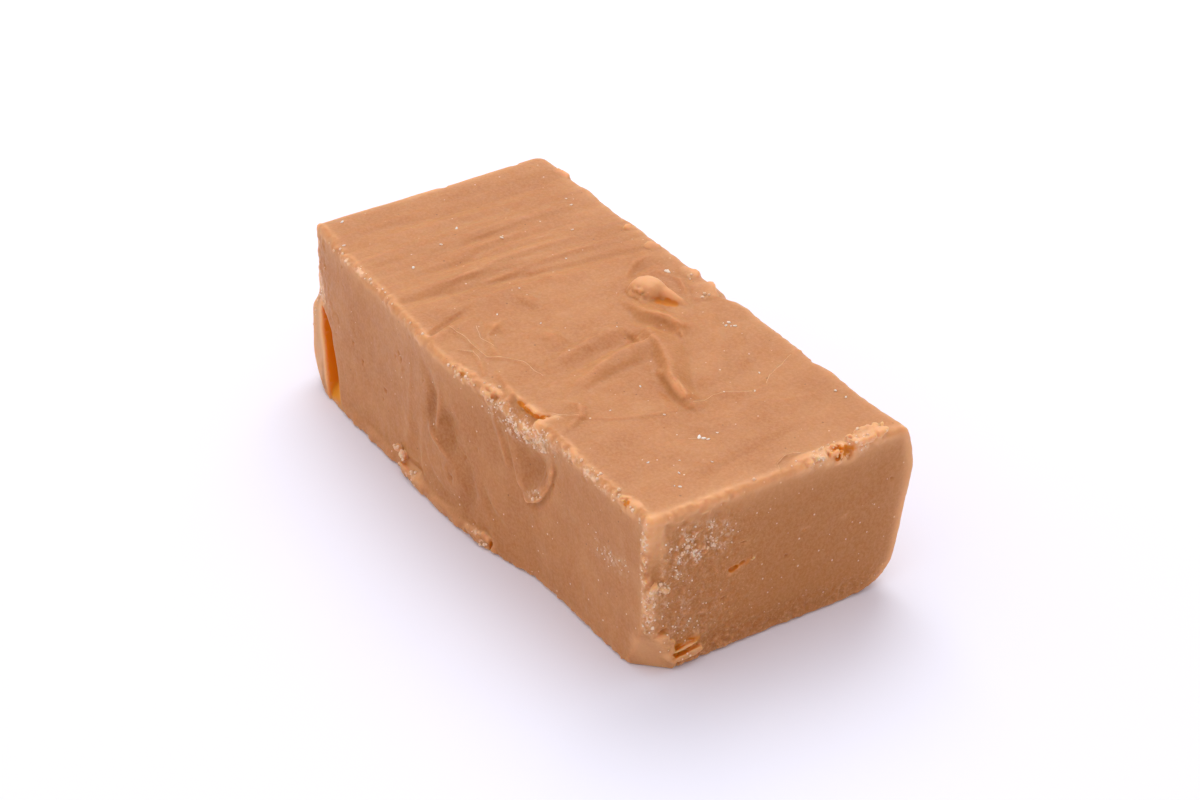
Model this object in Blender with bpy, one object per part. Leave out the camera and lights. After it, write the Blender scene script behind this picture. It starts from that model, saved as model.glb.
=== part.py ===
"""A bar of peanut butter fudge, cut from the corner of a slab.

+X runs along the bar to its cut end, -Y faces its long cut side, and +Z is up. The
other long side and the far end are the walls of the pan: they lean out a little as
they rise, and turn into the base by a wide round corner. The origin is the middle of
the base of the bar's box.

Every form below is worked out in millimetres, and written in metres at the end.
"""

import bmesh
import bpy
import numpy as np

MM = 0.001

# The block.
LENGTH = 88.0
WIDTH = 40.0
HEIGHT = 24.4

# The pan: where its wall stands widest, how much it leans, and its round floor corner.
PAN_WIDEST = 17.5
PAN_LEAN = 0.17
LONG_SHOULDER = 1.6
OUTER_SHOULDER = 0.6
PAN_CORNER = 5.0
PAN_CORNER_SPREAD = 1.3
PAN_UPRIGHT_CORNER = 2.2

# Bumps and notches along the top of the long pan side: middle, width and height.
LEDGE_BUMPS = (
    (-38.2, 1.4, 0.5),
    (-31.0, 2.6, 0.35),
    (-18.0, 3.2, 0.3),
    (4.2, 1.1, -0.6),
    (8.0, 2.8, 0.4),
    (22.0, 2.6, -0.25),
    (28.5, 3.0, 0.25),
)

# The edges that the knife left.
CUT_EDGE = 0.7
TOP_EDGE = 0.8
BREAK_EDGE = 0.25

# The base cut by a slanting facet at the near corner: a point on it and its outward normal.
FACET_POINT = (44.2, -20.0, 10.2)
FACET_NORMAL = (0.67, -0.663, -0.331)

# The outer corner that broke away above the lip: a point on the break and its normal.
BREAK_POINT = (-44.0, -17.8)
BREAK_NORMAL = (-0.322, -0.947)
BREAK_FOOT = 8.0
BREAK_TOP = 14.0
BREAK_DEPTH = 3.0

# The split between the lip and the cut side.
SPLIT_LOW = 0.6
SPLIT_HIGH = 12.6
SPLIT_MOUTH = 3.0
SPLIT_DEPTH = 2.4
SPLIT_EDGE = 0.15
SPLIT_LEAST = 0.12
SPLIT_FACE_Y = -19.6
SPLIT_OUTSIDE_Y = -23.0
SPLIT_ROWS = 14
SPLIT_COLUMNS = 5
LIP_THICKNESS = 3.1

# The curl of fudge on top: a dome, its hollow, and the tail that runs from it.
CURL_AT = (-2.0, 11.5)
CURL_RADIUS = 3.1
CURL_HEIGHT = 2.2
TAIL_PATH = ((-1.2, 13.0, 1.7), (1.2, 13.8, 1.2), (3.2, 13.9, 0.7), (5.0, 13.2, 0.1))
HOLLOW_AT = (1.6, 11.6)
HOLLOW_RADII = (2.3, 1.4)
HOLLOW_DEPTH = 1.3

# Ridges that the spatula left on top, as paths of (x, y, height).
LOW_RIDGE = ((-1.2, 6.2, 0.1), (2.1, 7.4, 0.5), (4.6, 8.4, 0.8), (7.0, 9.1, 0.7), (9.6, 8.4, 0.2))
LONG_RIDGE = ((4.0, 6.6, 0.2), (9.5, 5.0, 0.5), (15.5, 2.6, 0.6), (20.0, 1.2, 0.7), (24.2, -0.2, 0.7))
ARC_RIDGE = ((8.0, 3.0, 0.2), (10.2, -1.5, 0.35), (11.6, -6.5, 0.3), (13.6, -11.0, 0.1))
STEP_GROOVE = ((-12.6, 6.0, -0.2), (-14.4, 0.0, -0.35), (-14.2, -8.0, -0.35), (-11.0, -18.0, -0.2))

# Chips out of the top edges, as (middle), (radii): along the cut side, then the cut end.
CHIPS = (
    ((-41.5, -19.9, 25.2), (2.6, 1.2, 1.6)),
    ((0.6, -21.8, 25.0), (1.6, 1.2, 1.2)),
    ((8.0, -20.6, 25.0), (2.6, 1.5, 1.6)),
    ((13.5, -21.4, 25.0), (4.6, 2.6, 3.6)),
    ((18.2, -21.8, 24.6), (3.4, 2.6, 3.4)),
    ((27.5, -20.2, 25.2), (2.6, 1.2, 1.4)),
    ((38.0, -19.9, 25.2), (2.2, 1.3, 1.3)),
    ((45.2, 9.8, 24.9), (2.2, 1.9, 2.6)),
)
CHIP_EDGE = 0.2

# The mesh, before it is thinned, and the share of its faces that is kept.
GRID = 0.85
CORE_INSET = 6.4
LINE_STEPS = 41
HALVINGS = 20
FACES_KEPT = 0.235

# The middle of the bar's box in the frame that the forms are worked out in.
ORIGIN = (-0.22, -0.22, 0.0)

COLOUR = (0.56, 0.30, 0.13, 1.0)
ROUGHNESS = 0.55


def ramp(value, start, end):
    """A smooth step, from 0 at start to 1 at end."""
    share = np.clip((value - start) / (end - start), 0.0, 1.0)
    return share * share * (3.0 - 2.0 * share)


def hump(value, middle, width):
    return np.exp(-(((value - middle) / width) ** 2))


def mound(u, v, middle, radii, turn=0.0):
    """A soft round hump of height 1, or an oval one turned by an angle."""
    across, up = u - middle[0], v - middle[1]
    long_way = np.cos(turn) * across + np.sin(turn) * up
    short_way = np.cos(turn) * up - np.sin(turn) * across
    return np.exp(-((long_way / radii[0]) ** 2) - (short_way / radii[1]) ** 2)


def crest(u, v, path, left, right):
    """A ridge along a path of (u, v, height), with a width of its own on each side."""
    height = np.zeros_like(u)
    for (u0, v0, start), (u1, v1, end) in zip(path, path[1:]):
        run, rise = u1 - u0, v1 - v0
        share = ((u - u0) * run + (v - v0) * rise) / (run * run + rise * rise)
        share = np.clip(share, 0.0, 1.0)
        across, up = u - u0 - share * run, v - v0 - share * rise
        width = np.where(run * up - rise * across > 0.0, left, right)
        here = (start + (end - start) * share) * np.exp(-(across**2 + up**2) / width**2)
        height = np.where(np.abs(here) > np.abs(height), here, height)
    return height


def round_max(a, b, radius):
    """The intersection of two forms, with their shared edge rounded."""
    out_a, out_b = np.maximum(a + radius, 0.0), np.maximum(b + radius, 0.0)
    return np.minimum(np.maximum(a, b), -radius) + np.hypot(out_a, out_b)


def bite(form, x, y, z, middle, radii):
    """The form with an oval hollow taken out of it."""
    reach = np.sqrt(
        ((x - middle[0]) / radii[0]) ** 2
        + ((y - middle[1]) / radii[1]) ** 2
        + ((z - middle[2]) / radii[2]) ** 2
    )
    return round_max(form, (1.0 - reach) * min(radii), CHIP_EDGE)


def pan_wall(half, shoulder, z):
    """How far out the pan's wall stands at height z, from half the size at its widest."""
    below = np.maximum(PAN_WIDEST - z, 0.0)
    above = np.maximum(z - PAN_WIDEST, 0.0) / (HEIGHT - PAN_WIDEST)
    return half - PAN_LEAN * below - shoulder * above**2


def long_wall(x, z):
    """The long pan side, uneven along its top."""
    ledge = 0.08 * np.sin(1.9 * x + np.sin(0.7 * x))
    for middle, width, out in LEDGE_BUMPS:
        ledge = ledge + out * hump(x, middle, width)
    wall = pan_wall(WIDTH / 2 + 1.9, LONG_SHOULDER, z)
    return wall + ledge * ramp(z, 12.0, 23.0) + 0.3 * ramp(x, 36.0, 44.0)


def outer_wall(z):
    """The far end, which is the short pan side."""
    return pan_wall(LENGTH / 2 + 1.0, OUTER_SHOULDER, z) + 0.1 * np.maximum(PAN_WIDEST - z, 0.0)


def cut_side(x, z):
    """How far out the long cut side stands: it bellies near the middle and at its foot."""
    share = np.clip(z / HEIGHT, 0.0, 1.0)
    top = 19.3 + 1.9 * hump(x, -4.0, 13.0) - 1.2 * (1.0 - ramp(x, -44.0, -30.0))
    foot = 19.7 + 1.8 * (1.0 - ramp(x, 8.0, 20.0)) + 0.8 * hump(x, -4.0, 10.0)
    foot -= 1.4 * (1.0 - ramp(x, -44.0, -35.0))
    side = top * share + foot * (1.0 - share)
    side += 0.45 * mound(x, z, (1.5, 7.5), (6.5, 4.0), 0.5)
    side -= 0.7 * mound(x, z, (-1.0, 14.5), (2.0, 2.6), -0.3)
    side -= 0.5 * mound(x, z, (-5.6, 15.5), (1.5, 3.4), 0.15)
    side += 0.35 * mound(x, z, (-3.6, 11.2), (2.6, 1.1), -0.4)
    side -= 0.4 * mound(x, z, (10.0, 7.0), (3.2, 0.9), 0.45)
    side += foot_burr(x, z)
    return side + leaf(x, z)


def foot_burr(x, z):
    """The fudge that the knife dragged out along the foot of the cut side."""
    along = ramp(x, -36.0, -28.0) * (1.0 - ramp(x, 8.5, 11.0))
    torn = 0.6 + 0.4 * np.sin(0.9 * x) * np.sin(0.37 * x + 1.0)
    groove = hump(z, 2.6, 0.8) * (hump(x, -10.0, 4.0) + hump(x, 9.0, 1.8))
    return along * (0.6 * torn * (1.0 - ramp(z, 1.2, 2.6)) - 0.55 * groove)


def leaf(x, z):
    """A shaving that curled down the cut side: hollow at its top, proud at its tip."""
    tip = 11.9 + 0.24 * np.maximum(x - 14.0, 0.0) + 0.9 * np.maximum(12.6 - x, 0.0)
    inside = ramp(x, 10.2, 11.6) * (1.0 - ramp(x, 21.0, 21.9)) * ramp(z, tip - 0.25, tip + 0.25)
    scoop = 0.65 * (1.0 - ramp(z, tip, tip + 3.5)) - 0.85 * ramp(z, tip + 1.5, tip + 6.5)
    return inside * scoop * (1.0 - 0.6 * ramp(z, 20.0, 24.0))


def cut_end(y, z):
    """The cut end, with the smooth strip that the knife pressed by its near corner."""
    flat = LENGTH / 2 + 0.3 - 0.3 * (1.0 - np.clip(z / HEIGHT, 0.0, 1.0)) ** 2
    strip = 0.3 * hump(y, -18.2, 1.5) * ramp(z, 14.2, 15.6)
    crumbly = 0.35 * mound(y, z, (-12.5, 15.5), (3.4, 5.0), 0.3)
    return flat + strip - crumbly


def top_height(x, y):
    """The top as the spatula left it: small waves across the bar, and swirls by the curl."""
    outer_part = 1.0 - ramp(x, -18.0, -11.0)
    waves = np.sin(1.75 * x + 0.05 * y) + 0.8 * np.sin(1.13 * x + 0.5 + 0.6 * np.sin(0.1 * y))
    top = HEIGHT + 0.08 * waves * outer_part
    top = top + 0.18 * np.sin(0.21 * x + 0.4) * np.sin(0.16 * y + 1.1)
    top = top + crest(x, y, STEP_GROOVE, 1.0, 0.8)
    top = top + crest(x, y, LOW_RIDGE, 1.4, 0.7)
    top = top + crest(x, y, LONG_RIDGE, 2.2, 0.7)
    top = top + crest(x, y, ARC_RIDGE, 1.2, 1.5)
    top = top - 0.45 * mound(x, y, (-3.5, -11.5), (1.7, 1.4))
    top = top - 0.35 * mound(x, y, (24.6, -1.6), (1.2, 1.0))
    flakes = hump(y, 5.6, 2.6) + 1.2 * hump(y, 14.8, 2.3)
    return top + 0.6 * flakes * ramp(x, 41.2, 43.4)


def curl_height(x, y):
    """The dome and the tail of the curl, above the top."""
    away = np.hypot(x - CURL_AT[0], y - CURL_AT[1]) / CURL_RADIUS
    dome = CURL_HEIGHT * np.maximum(1.0 - away**2, 0.0) ** 0.75
    tail = crest(x, y, TAIL_PATH, 1.3, 0.8)
    hollow = HOLLOW_DEPTH * mound(x, y, HOLLOW_AT, HOLLOW_RADII, 0.1)
    return np.maximum(dome, tail) - hollow


def facet(x, y, z):
    away = zip((x, y, z), FACET_POINT, FACET_NORMAL)
    return sum((value - point) * slope for value, point, slope in away)


def corner_break(x, y, z):
    """The broken outer corner. Below it the corner is whole, and makes the lip."""
    out = (x - BREAK_POINT[0]) * BREAK_NORMAL[0] + (y - BREAK_POINT[1]) * BREAK_NORMAL[1]
    return out - BREAK_DEPTH * (1.0 - ramp(z, BREAK_FOOT, BREAK_TOP))


def bar_form(x, y, z):
    """Less than nought inside the bar, and nought on its surface."""
    pan = round_max(y - long_wall(x, z), -x - outer_wall(z), PAN_UPRIGHT_CORNER)
    pan = round_max(pan / PAN_CORNER_SPREAD, -z, PAN_CORNER)
    cut = round_max(-y - cut_side(x, z), x - cut_end(y, z), CUT_EDGE)
    form = round_max(pan, cut, CUT_EDGE)
    form = round_max(form, facet(x, y, z), BREAK_EDGE)
    form = round_max(form, corner_break(x, y, z), BREAK_EDGE)
    form = round_max(form, z - top_height(x, y) - curl_height(x, y), TOP_EDGE)
    for middle, radii in CHIPS:
        form = bite(form, x, y, z, middle, radii)
    return np.maximum(form, -z)


def surface_point(core, reach):
    """Where the line from each core point to its reach point leaves the bar."""
    shares = np.linspace(0.0, 1.0, LINE_STEPS)
    inside = np.array([bar_form(*(core + (reach - core) * share).T) < 0.0 for share in shares])
    last_inside = LINE_STEPS - 1 - np.argmax(inside[::-1], axis=0)
    near, far = shares[last_inside], shares[np.minimum(last_inside + 1, LINE_STEPS - 1)]
    for _ in range(HALVINGS):
        middle = (near + far) / 2.0
        outside = bar_form(*(core + (reach - core) * middle[:, None]).T) > 0.0
        far = np.where(outside, middle, far)
        near = np.where(outside, near, middle)
    return core + (reach - core) * near[:, None]


def divide_along(mesh, axis, size, cuts):
    """Divides the edges of a box-like mesh that run along an axis."""
    edges = [
        edge
        for edge in mesh.edges
        if abs((edge.verts[0].co - edge.verts[1].co)[axis]) > size / 2
    ]
    bmesh.ops.subdivide_edges(mesh, edges=edges, cuts=cuts, use_grid_fill=True)


def block_mesh():
    """A cube divided into a grid, with each point moved out or in to the bar's surface."""
    mesh = bmesh.new()
    bmesh.ops.create_cube(mesh, size=1.0)
    bmesh.ops.scale(mesh, vec=(LENGTH, WIDTH, HEIGHT), verts=mesh.verts)
    bmesh.ops.translate(mesh, vec=(0.0, 0.0, HEIGHT / 2), verts=mesh.verts)
    for axis, size in enumerate((LENGTH, WIDTH, HEIGHT)):
        divide_along(mesh, axis, size, round(size / GRID) - 1)
    return mesh


def move_to_surface(mesh):
    points = np.array([vertex.co for vertex in mesh.verts])
    half = np.array([LENGTH, WIDTH, HEIGHT]) / 2
    middle = np.array([0.0, 0.0, HEIGHT / 2])
    core = middle + np.clip(points - middle, CORE_INSET - half, half - CORE_INSET)
    moved = surface_point(core, core + (points - core) * 2.0)
    for vertex, place in zip(mesh.verts, moved):
        vertex.co = place


def placed(x, y, z):
    """A point of the forms' frame, in metres from the bar's own origin."""
    return tuple((value - start) * MM for value, start in zip((x, y, z), ORIGIN))


def fudge_material():
    material = bpy.data.materials.new("fudge")
    material.use_nodes = True
    shader = material.node_tree.nodes["Principled BSDF"]
    shader.inputs["Base Color"].default_value = COLOUR
    shader.inputs["Roughness"].default_value = ROUGHNESS
    shader.inputs["Metallic"].default_value = 0.0
    return material


def add_object(name, mesh, collection):
    data = bpy.data.meshes.new(name)
    for vertex in mesh.verts:
        vertex.co = placed(*vertex.co)
    mesh.to_mesh(data)
    mesh.free()
    made = bpy.data.objects.new(name, data)
    collection.objects.link(made)
    return made


def lip_inner_face(z):
    """Where the lip's inner face lies along the bar: the pan's wall, a thickness inside."""
    rise = np.sqrt(PAN_CORNER**2 - max(PAN_CORNER - z, 0.0) ** 2)
    return LIP_THICKNESS - float(outer_wall(z)) + PAN_CORNER_SPREAD * (PAN_CORNER - rise)


def split_cutter():
    """A curved wedge, open to the cut side, that tapers to an edge inside the bar."""
    mesh = bmesh.new()
    bmesh.ops.create_cube(mesh, size=1.0)
    bmesh.ops.translate(mesh, vec=(0.5, 0.5, 0.5), verts=mesh.verts)
    divide_along(mesh, 2, 1.0, SPLIT_ROWS)
    divide_along(mesh, 1, 1.0, SPLIT_COLUMNS)
    for vertex in mesh.verts:
        across, inward, upward = vertex.co
        z = SPLIT_LOW + (SPLIT_HIGH - SPLIT_LOW) * upward
        gape = max(np.sin(np.pi * upward) ** 0.6, SPLIT_LEAST)
        deep = SPLIT_FACE_Y + SPLIT_DEPTH * gape
        y = SPLIT_OUTSIDE_Y + (deep - SPLIT_OUTSIDE_Y) * inward
        taper = min((deep - y) / (SPLIT_DEPTH * gape), 1.0)
        width = SPLIT_EDGE + SPLIT_MOUTH * gape * taper
        x = lip_inner_face(z) + SPLIT_EDGE * (1.0 - taper) + width * across
        vertex.co = (x, y, z)
    return mesh


def start_empty():
    for thing in list(bpy.data.objects):
        bpy.data.objects.remove(thing, do_unlink=True)
    made = []
    for name in ("peanut_butter_fudge", "cutters"):
        made.append(bpy.data.collections.new(name))
        bpy.context.scene.collection.children.link(made[-1])
    return made


def main():
    parts, cutters = start_empty()

    mesh = block_mesh()
    move_to_surface(mesh)
    bar = add_object("fudge_bar", mesh, parts)
    bar.data.materials.append(fudge_material())
    bar.data.shade_smooth()

    split = add_object("lip_split", split_cutter(), cutters)
    split.hide_render = True
    split.display_type = "WIRE"

    thin = bar.modifiers.new("fewer faces", "DECIMATE")
    thin.ratio = FACES_KEPT
    cut = bar.modifiers.new("split behind the lip", "BOOLEAN")
    cut.operation = "DIFFERENCE"
    cut.object = split


main()
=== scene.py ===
"""A bar of peanut butter fudge, cut from the corner of a slab, on a pale floor.

The bar's forms are worked out in millimetres. +X runs along the bar to its cut end, -Y
faces its long cut side, and +Z is up. Each face is a height map with its own relief,
the faces meet in one block of cells, and what overhangs, gapes or flakes is modelled
into that block. The surface of the block is the bar's mesh.
"""

import math

import bpy
import numpy as np
from mathutils import Euler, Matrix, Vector


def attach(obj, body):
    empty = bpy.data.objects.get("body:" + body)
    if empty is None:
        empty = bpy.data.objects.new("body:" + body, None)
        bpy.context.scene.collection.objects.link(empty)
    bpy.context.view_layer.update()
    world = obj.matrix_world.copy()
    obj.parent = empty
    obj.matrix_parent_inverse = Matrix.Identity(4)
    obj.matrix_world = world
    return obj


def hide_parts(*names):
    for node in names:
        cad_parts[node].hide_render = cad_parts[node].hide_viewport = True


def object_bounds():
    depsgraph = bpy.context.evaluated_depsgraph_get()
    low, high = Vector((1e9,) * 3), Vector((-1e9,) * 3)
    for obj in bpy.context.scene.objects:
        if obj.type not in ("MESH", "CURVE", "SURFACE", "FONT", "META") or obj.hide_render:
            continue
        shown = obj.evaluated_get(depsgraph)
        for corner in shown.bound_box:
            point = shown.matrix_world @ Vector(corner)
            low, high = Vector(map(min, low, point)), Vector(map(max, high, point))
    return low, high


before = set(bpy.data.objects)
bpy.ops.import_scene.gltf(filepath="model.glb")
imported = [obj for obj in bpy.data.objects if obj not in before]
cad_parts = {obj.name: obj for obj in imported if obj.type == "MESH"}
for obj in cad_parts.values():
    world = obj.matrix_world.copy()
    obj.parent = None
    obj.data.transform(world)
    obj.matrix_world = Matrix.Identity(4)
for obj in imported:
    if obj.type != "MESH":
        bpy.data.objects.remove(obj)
CAD_LOW, CAD_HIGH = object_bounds()
CAD_SIZE = CAD_HIGH - CAD_LOW

bl_info = {
    "name": "Peanut Butter Fudge",
    "version": (1, 0, 0),
    "blender": (4, 5, 0),
    "location": "View3D > Sidebar > Fudge",
    "description": "Builds a bar of peanut butter fudge with its crumbs and sugar grains",
    "category": "Add Mesh",
}

MM = 0.001

# The bar, at its cut faces.
LENGTH = 88.0
WIDTH = 40.0
HEIGHT = 24.4

# The pan: where its wall stands widest, how much it leans, and its round floor corner.
PAN_WIDEST = 17.5
PAN_LEAN = 0.17
LONG_SHOULDER = 1.6
OUTER_SHOULDER = 0.6
PAN_CORNER = 5.0
PAN_CORNER_SPREAD = 1.3
PAN_UPRIGHT_CORNER = 2.2

# Bumps along the top of the long pan side, as place, width and how far they stand out.
LEDGE_BUMPS = (
    (-38.2, 1.4, 0.5),
    (-31.0, 2.6, 0.35),
    (-18.0, 3.2, 0.3),
    (4.2, 1.1, -0.6),
    (8.0, 2.8, 0.4),
    (22.0, 2.6, -0.25),
    (28.5, 3.0, 0.25),
)

# How round the edges are: between cut faces, along the top, and where fudge broke.
CUT_EDGE = 0.7
TOP_EDGE = 0.9
BREAK_EDGE = 0.25

# The facet at the near corner: a point on it and its outward normal.
FACET_POINT = (44.2, -20.0, 10.2)
FACET_NORMAL = (0.67, -0.663, -0.331)

# The outer corner that broke away above the lip: a point on the break, the way it
# faces, and the heights between which it runs out.
BREAK_POINT = (-44.0, -17.8)
BREAK_NORMAL = (-0.322, -0.947)
BREAK_FOOT = 8.0
BREAK_TOP = 14.0
BREAK_DEPTH = 3.0

# The split between the lip and the cut side: how high and deep it goes, and where its
# two sides stand along X at a few heights.
SPLIT_HIGH = 12.8
SPLIT_DEPTH = 3.0
SPLIT_HEIGHTS = (0.0, 1.0, 3.0, 5.0, 7.0, 9.0, 11.0, 13.0)
LIP_INSIDE = (-35.9, -36.4, -37.4, -38.4, -39.3, -40.3, -41.1, -41.6)
SPLIT_EDGE = (-32.2, -32.4, -33.1, -33.9, -34.8, -35.7, -36.8, -39.2)

# What the spatula left on top: ridges and grooves as a path of (x, y, height), and how
# far each falls off to the left and to the right of its path.
RIDGE_STRENGTH = 1.22
TOP_RIDGES = (
    # The grooves and ribs across the far part.
    (((-18.6, -18.6, -0.12), (-17.2, -11.0, -0.24), (-16.0, -2.0, -0.27), (-14.6, 6.0, -0.24),
      (-13.6, 13.0, -0.2), (-12.4, 18.5, -0.1)), 0.7, 0.9),
    (((-24.4, -18.0, -0.1), (-23.4, -6.2, -0.22), (-23.0, 2.7, -0.18), (-21.6, 12.0, -0.1)), 0.8, 0.8),
    (((-20.8, -17.0, 0.1), (-19.6, -6.0, 0.2), (-18.4, 6.0, 0.18), (-17.0, 14.0, 0.08)), 0.9, 0.9),
    (((-28.5, -16.0, -0.1), (-27.6, -2.0, -0.16), (-26.0, 14.0, -0.1)), 0.8, 0.8),
    (((-30.8, -16.0, 0.07), (-29.8, 0.0, 0.12), (-28.6, 15.0, 0.08)), 0.9, 0.9),
    (((-33.5, -14.0, -0.08), (-32.6, 2.0, -0.13), (-31.5, 15.0, -0.06)), 1.0, 0.9),
    (((-35.6, -15.0, 0.06), (-34.8, 0.0, 0.11), (-33.8, 14.0, 0.07)), 0.8, 0.8),
    (((-37.9, -15.0, -0.08), (-37.0, 0.0, -0.14), (-35.9, 15.0, -0.08)), 0.8, 0.9),
    (((-41.2, -13.0, -0.05), (-40.3, 1.0, -0.11), (-39.3, 15.0, -0.07)), 0.9, 0.8),
    (((-13.2, -14.0, 0.1), (-13.4, -4.0, 0.22), (-12.4, 6.0, 0.1)), 0.7, 1.5),
    # The ridge below the curl, with its rounded end.
    (((-2.4, 7.4, 0.1), (-1.1, 7.2, 0.2), (0.7, 7.5, 0.35), (2.8, 7.7, 0.6), (4.7, 8.4, 0.9),
      (6.2, 9.1, 1.0), (7.9, 9.3, 0.95), (9.0, 8.9, 0.5)), 1.6, 0.75),
    (((0.6, 5.9, -0.1), (3.6, 6.0, -0.25), (6.4, 7.0, -0.3), (8.4, 7.6, -0.2)), 0.6, 0.9),
    # The tongue: the edge that it ends on, and the dip along its other side.
    (((6.7, 5.4, 0.3), (10.6, 4.5, 0.5), (14.8, 3.1, 0.6), (16.9, 2.0, 0.75), (18.3, 1.4, 0.9),
      (20.9, 0.8, 0.95), (23.2, 0.35, 0.8), (25.0, 0.0, 0.35)), 1.5, 0.85),
    (((16.2, 0.9, 0.3), (18.3, 0.7, 0.45), (20.9, 0.2, 0.45), (23.2, -0.1, 0.3)), 0.7, 0.35),
    (((8.6, 8.6, -0.08), (11.7, 7.7, -0.2), (15.3, 6.4, -0.2), (19.0, 4.2, -0.2),
      (22.4, 2.4, -0.12)), 1.2, 0.8),
    (((17.6, -0.6, -0.08), (20.8, -0.9, -0.16), (24.0, -1.1, -0.1)), 0.45, 0.9),
    # The fold that runs from the tongue towards the cut side, and the arcs beside it.
    (((9.1, 2.1, 0.6), (9.7, -0.6, 0.75), (10.5, -3.8, 0.7), (11.4, -6.5, 0.55), (12.3, -9.1, 0.35),
      (14.3, -12.4, 0.1)), 2.4, 0.9),
    (((7.0, 2.4, -0.3), (7.4, -1.0, -0.45), (8.1, -4.5, -0.42), (8.9, -8.0, -0.3),
      (10.0, -11.0, -0.12)), 0.8, 1.7),
    (((3.6, 1.8, 0.18), (4.2, -2.5, 0.34), (5.2, -7.0, 0.3), (6.8, -11.0, 0.12)), 1.4, 0.8),
    (((12.6, 0.5, -0.1), (12.9, -2.7, -0.24), (13.4, -5.7, -0.24), (14.6, -9.0, -0.12)), 1.2, 0.8),
    (((4.8, 2.8, -0.1), (6.2, 2.9, -0.35), (8.6, 2.5, -0.2)), 0.35, 0.45),
    # The rings around the curl.
    (((-4.4, 8.4, -0.12), (-6.8, 11.0, -0.34), (-8.2, 13.6, -0.34), (-8.2, 16.4, -0.2)), 1.2, 0.7),
    (((-5.8, 10.0, 0.06), (-8.4, 12.0, 0.16), (-10.1, 14.2, 0.18), (-10.5, 16.8, 0.1)), 0.5, 0.6),
    (((-6.2, 15.6, 0.1), (-2.5, 16.8, 0.2), (2.0, 15.4, 0.16)), 0.6, 0.4),
    (((5.6, 16.6, 0.1), (10.0, 13.4, 0.2), (14.5, 12.0, 0.18), (18.0, 9.2, 0.16),
      (21.1, 6.0, 0.1)), 0.8, 1.4),
    (((9.6, 17.6, 0.08), (13.6, 15.6, 0.14), (18.0, 13.0, 0.1)), 0.6, 1.0),
    # The wrinkles by the cut side.
    (((-11.5, -12.0, -0.12), (-10.4, -15.5, -0.34), (-8.7, -19.4, -0.36)), 0.5, 0.6),
    (((-9.2, -12.6, 0.1), (-8.4, -16.0, 0.24), (-7.6, -19.4, 0.2)), 0.9, 0.7),
    (((-9.0, -16.6, 0.1), (-4.0, -16.1, 0.18), (0.4, -16.2, 0.16), (2.2, -13.8, 0.14),
      (4.0, -12.7, 0.14), (8.4, -12.2, 0.06)), 0.3, 0.4),
    (((-3.4, -18.4, 0.1), (-1.8, -16.9, 0.16), (0.8, -17.4, 0.14), (3.6, -18.6, 0.12)), 0.3, 0.35),
    (((-6.6, -9.4, 0.1), (-4.4, -13.2, 0.2), (-1.0, -14.4, 0.16), (3.0, -14.9, 0.06)), 0.4, 0.6),
    (((4.6, -17.0, 0.12), (7.8, -17.5, 0.3), (10.6, -18.4, 0.3)), 0.9, 0.45),
    # The hair lines and shallow arcs of the near part.
    (((25.0, -0.2, 0.1), (25.0, 1.8, 0.13), (24.4, 3.7, 0.13), (24.6, 5.3, 0.13),
      (25.4, 6.8, 0.13), (26.5, 8.8, 0.13), (25.9, 11.2, 0.14), (24.4, 12.8, 0.12),
      (23.4, 15.2, 0.12), (21.9, 18.2, 0.1), (20.9, 19.6, 0.1)), 0.2, 0.8),
    (((25.0, -0.6, 0.08), (24.3, -5.0, 0.12), (22.6, -10.0, 0.11), (19.6, -14.2, 0.08)), 0.25, 1.4),
    (((21.6, -17.6, 0.12), (19.8, -13.6, 0.24), (17.4, -12.4, 0.2), (15.4, -13.4, 0.1)), 0.8, 0.5),
    (((27.6, 6.6, 0.05), (30.4, 10.6, 0.12), (31.4, 16.4, 0.06)), 0.5, 0.8),
    (((29.0, -14.0, -0.08), (30.4, -6.0, -0.14), (33.0, 2.0, -0.14), (34.0, 12.0, -0.08)), 1.6, 1.1),
    (((37.0, 9.0, -0.06), (37.9, 1.5, -0.14), (38.9, -7.5, -0.1)), 1.0, 0.8),
    (((41.6, 5.2, 0.1), (41.2, 3.0, 0.16), (42.0, 1.2, 0.14), (43.4, 0.8, 0.1)), 0.2, 0.7),
)
# Soft lumps and dips on top, as (middle), (radii), turn, height.
TOP_LUMPS = (
    ((-9.6, -3.6), (1.7, 1.2), 0.3, 0.4),
    ((-7.9, -4.6), (1.2, 0.8), 0.3, -0.1),
    ((0.2, -6.6), (2.6, 1.5), 0.2, 0.4),
    ((-5.6, -11.4), (1.3, 1.3), 0.4, 0.45),
    ((-3.6, -11.5), (1.2, 0.9), 0.2, -0.16),
    ((-12.4, 2.6), (1.6, 1.0), 0.2, 0.25),
    ((2.6, -2.0), (2.4, 4.2), 0.3, -0.2),
    ((12.2, 5.4), (5.4, 2.0), -0.35, 0.5),
    ((18.2, -12.3), (1.3, 0.9), 0.2, 0.25),
    ((19.6, -14.4), (0.9, 0.9), 0.0, 0.2),
    ((14.0, 14.5), (5.0, 3.0), 0.5, 0.2),
    ((33.0, 5.0), (4.0, 7.0), 0.2, 0.16),
    ((29.0, -9.0), (4.0, 3.0), 0.6, 0.14),
    ((-28.0, 8.0), (3.0, 8.0), 0.0, 0.1),
    ((-37.5, 0.0), (1.8, 14.0), 0.0, -0.12),
)

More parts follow.
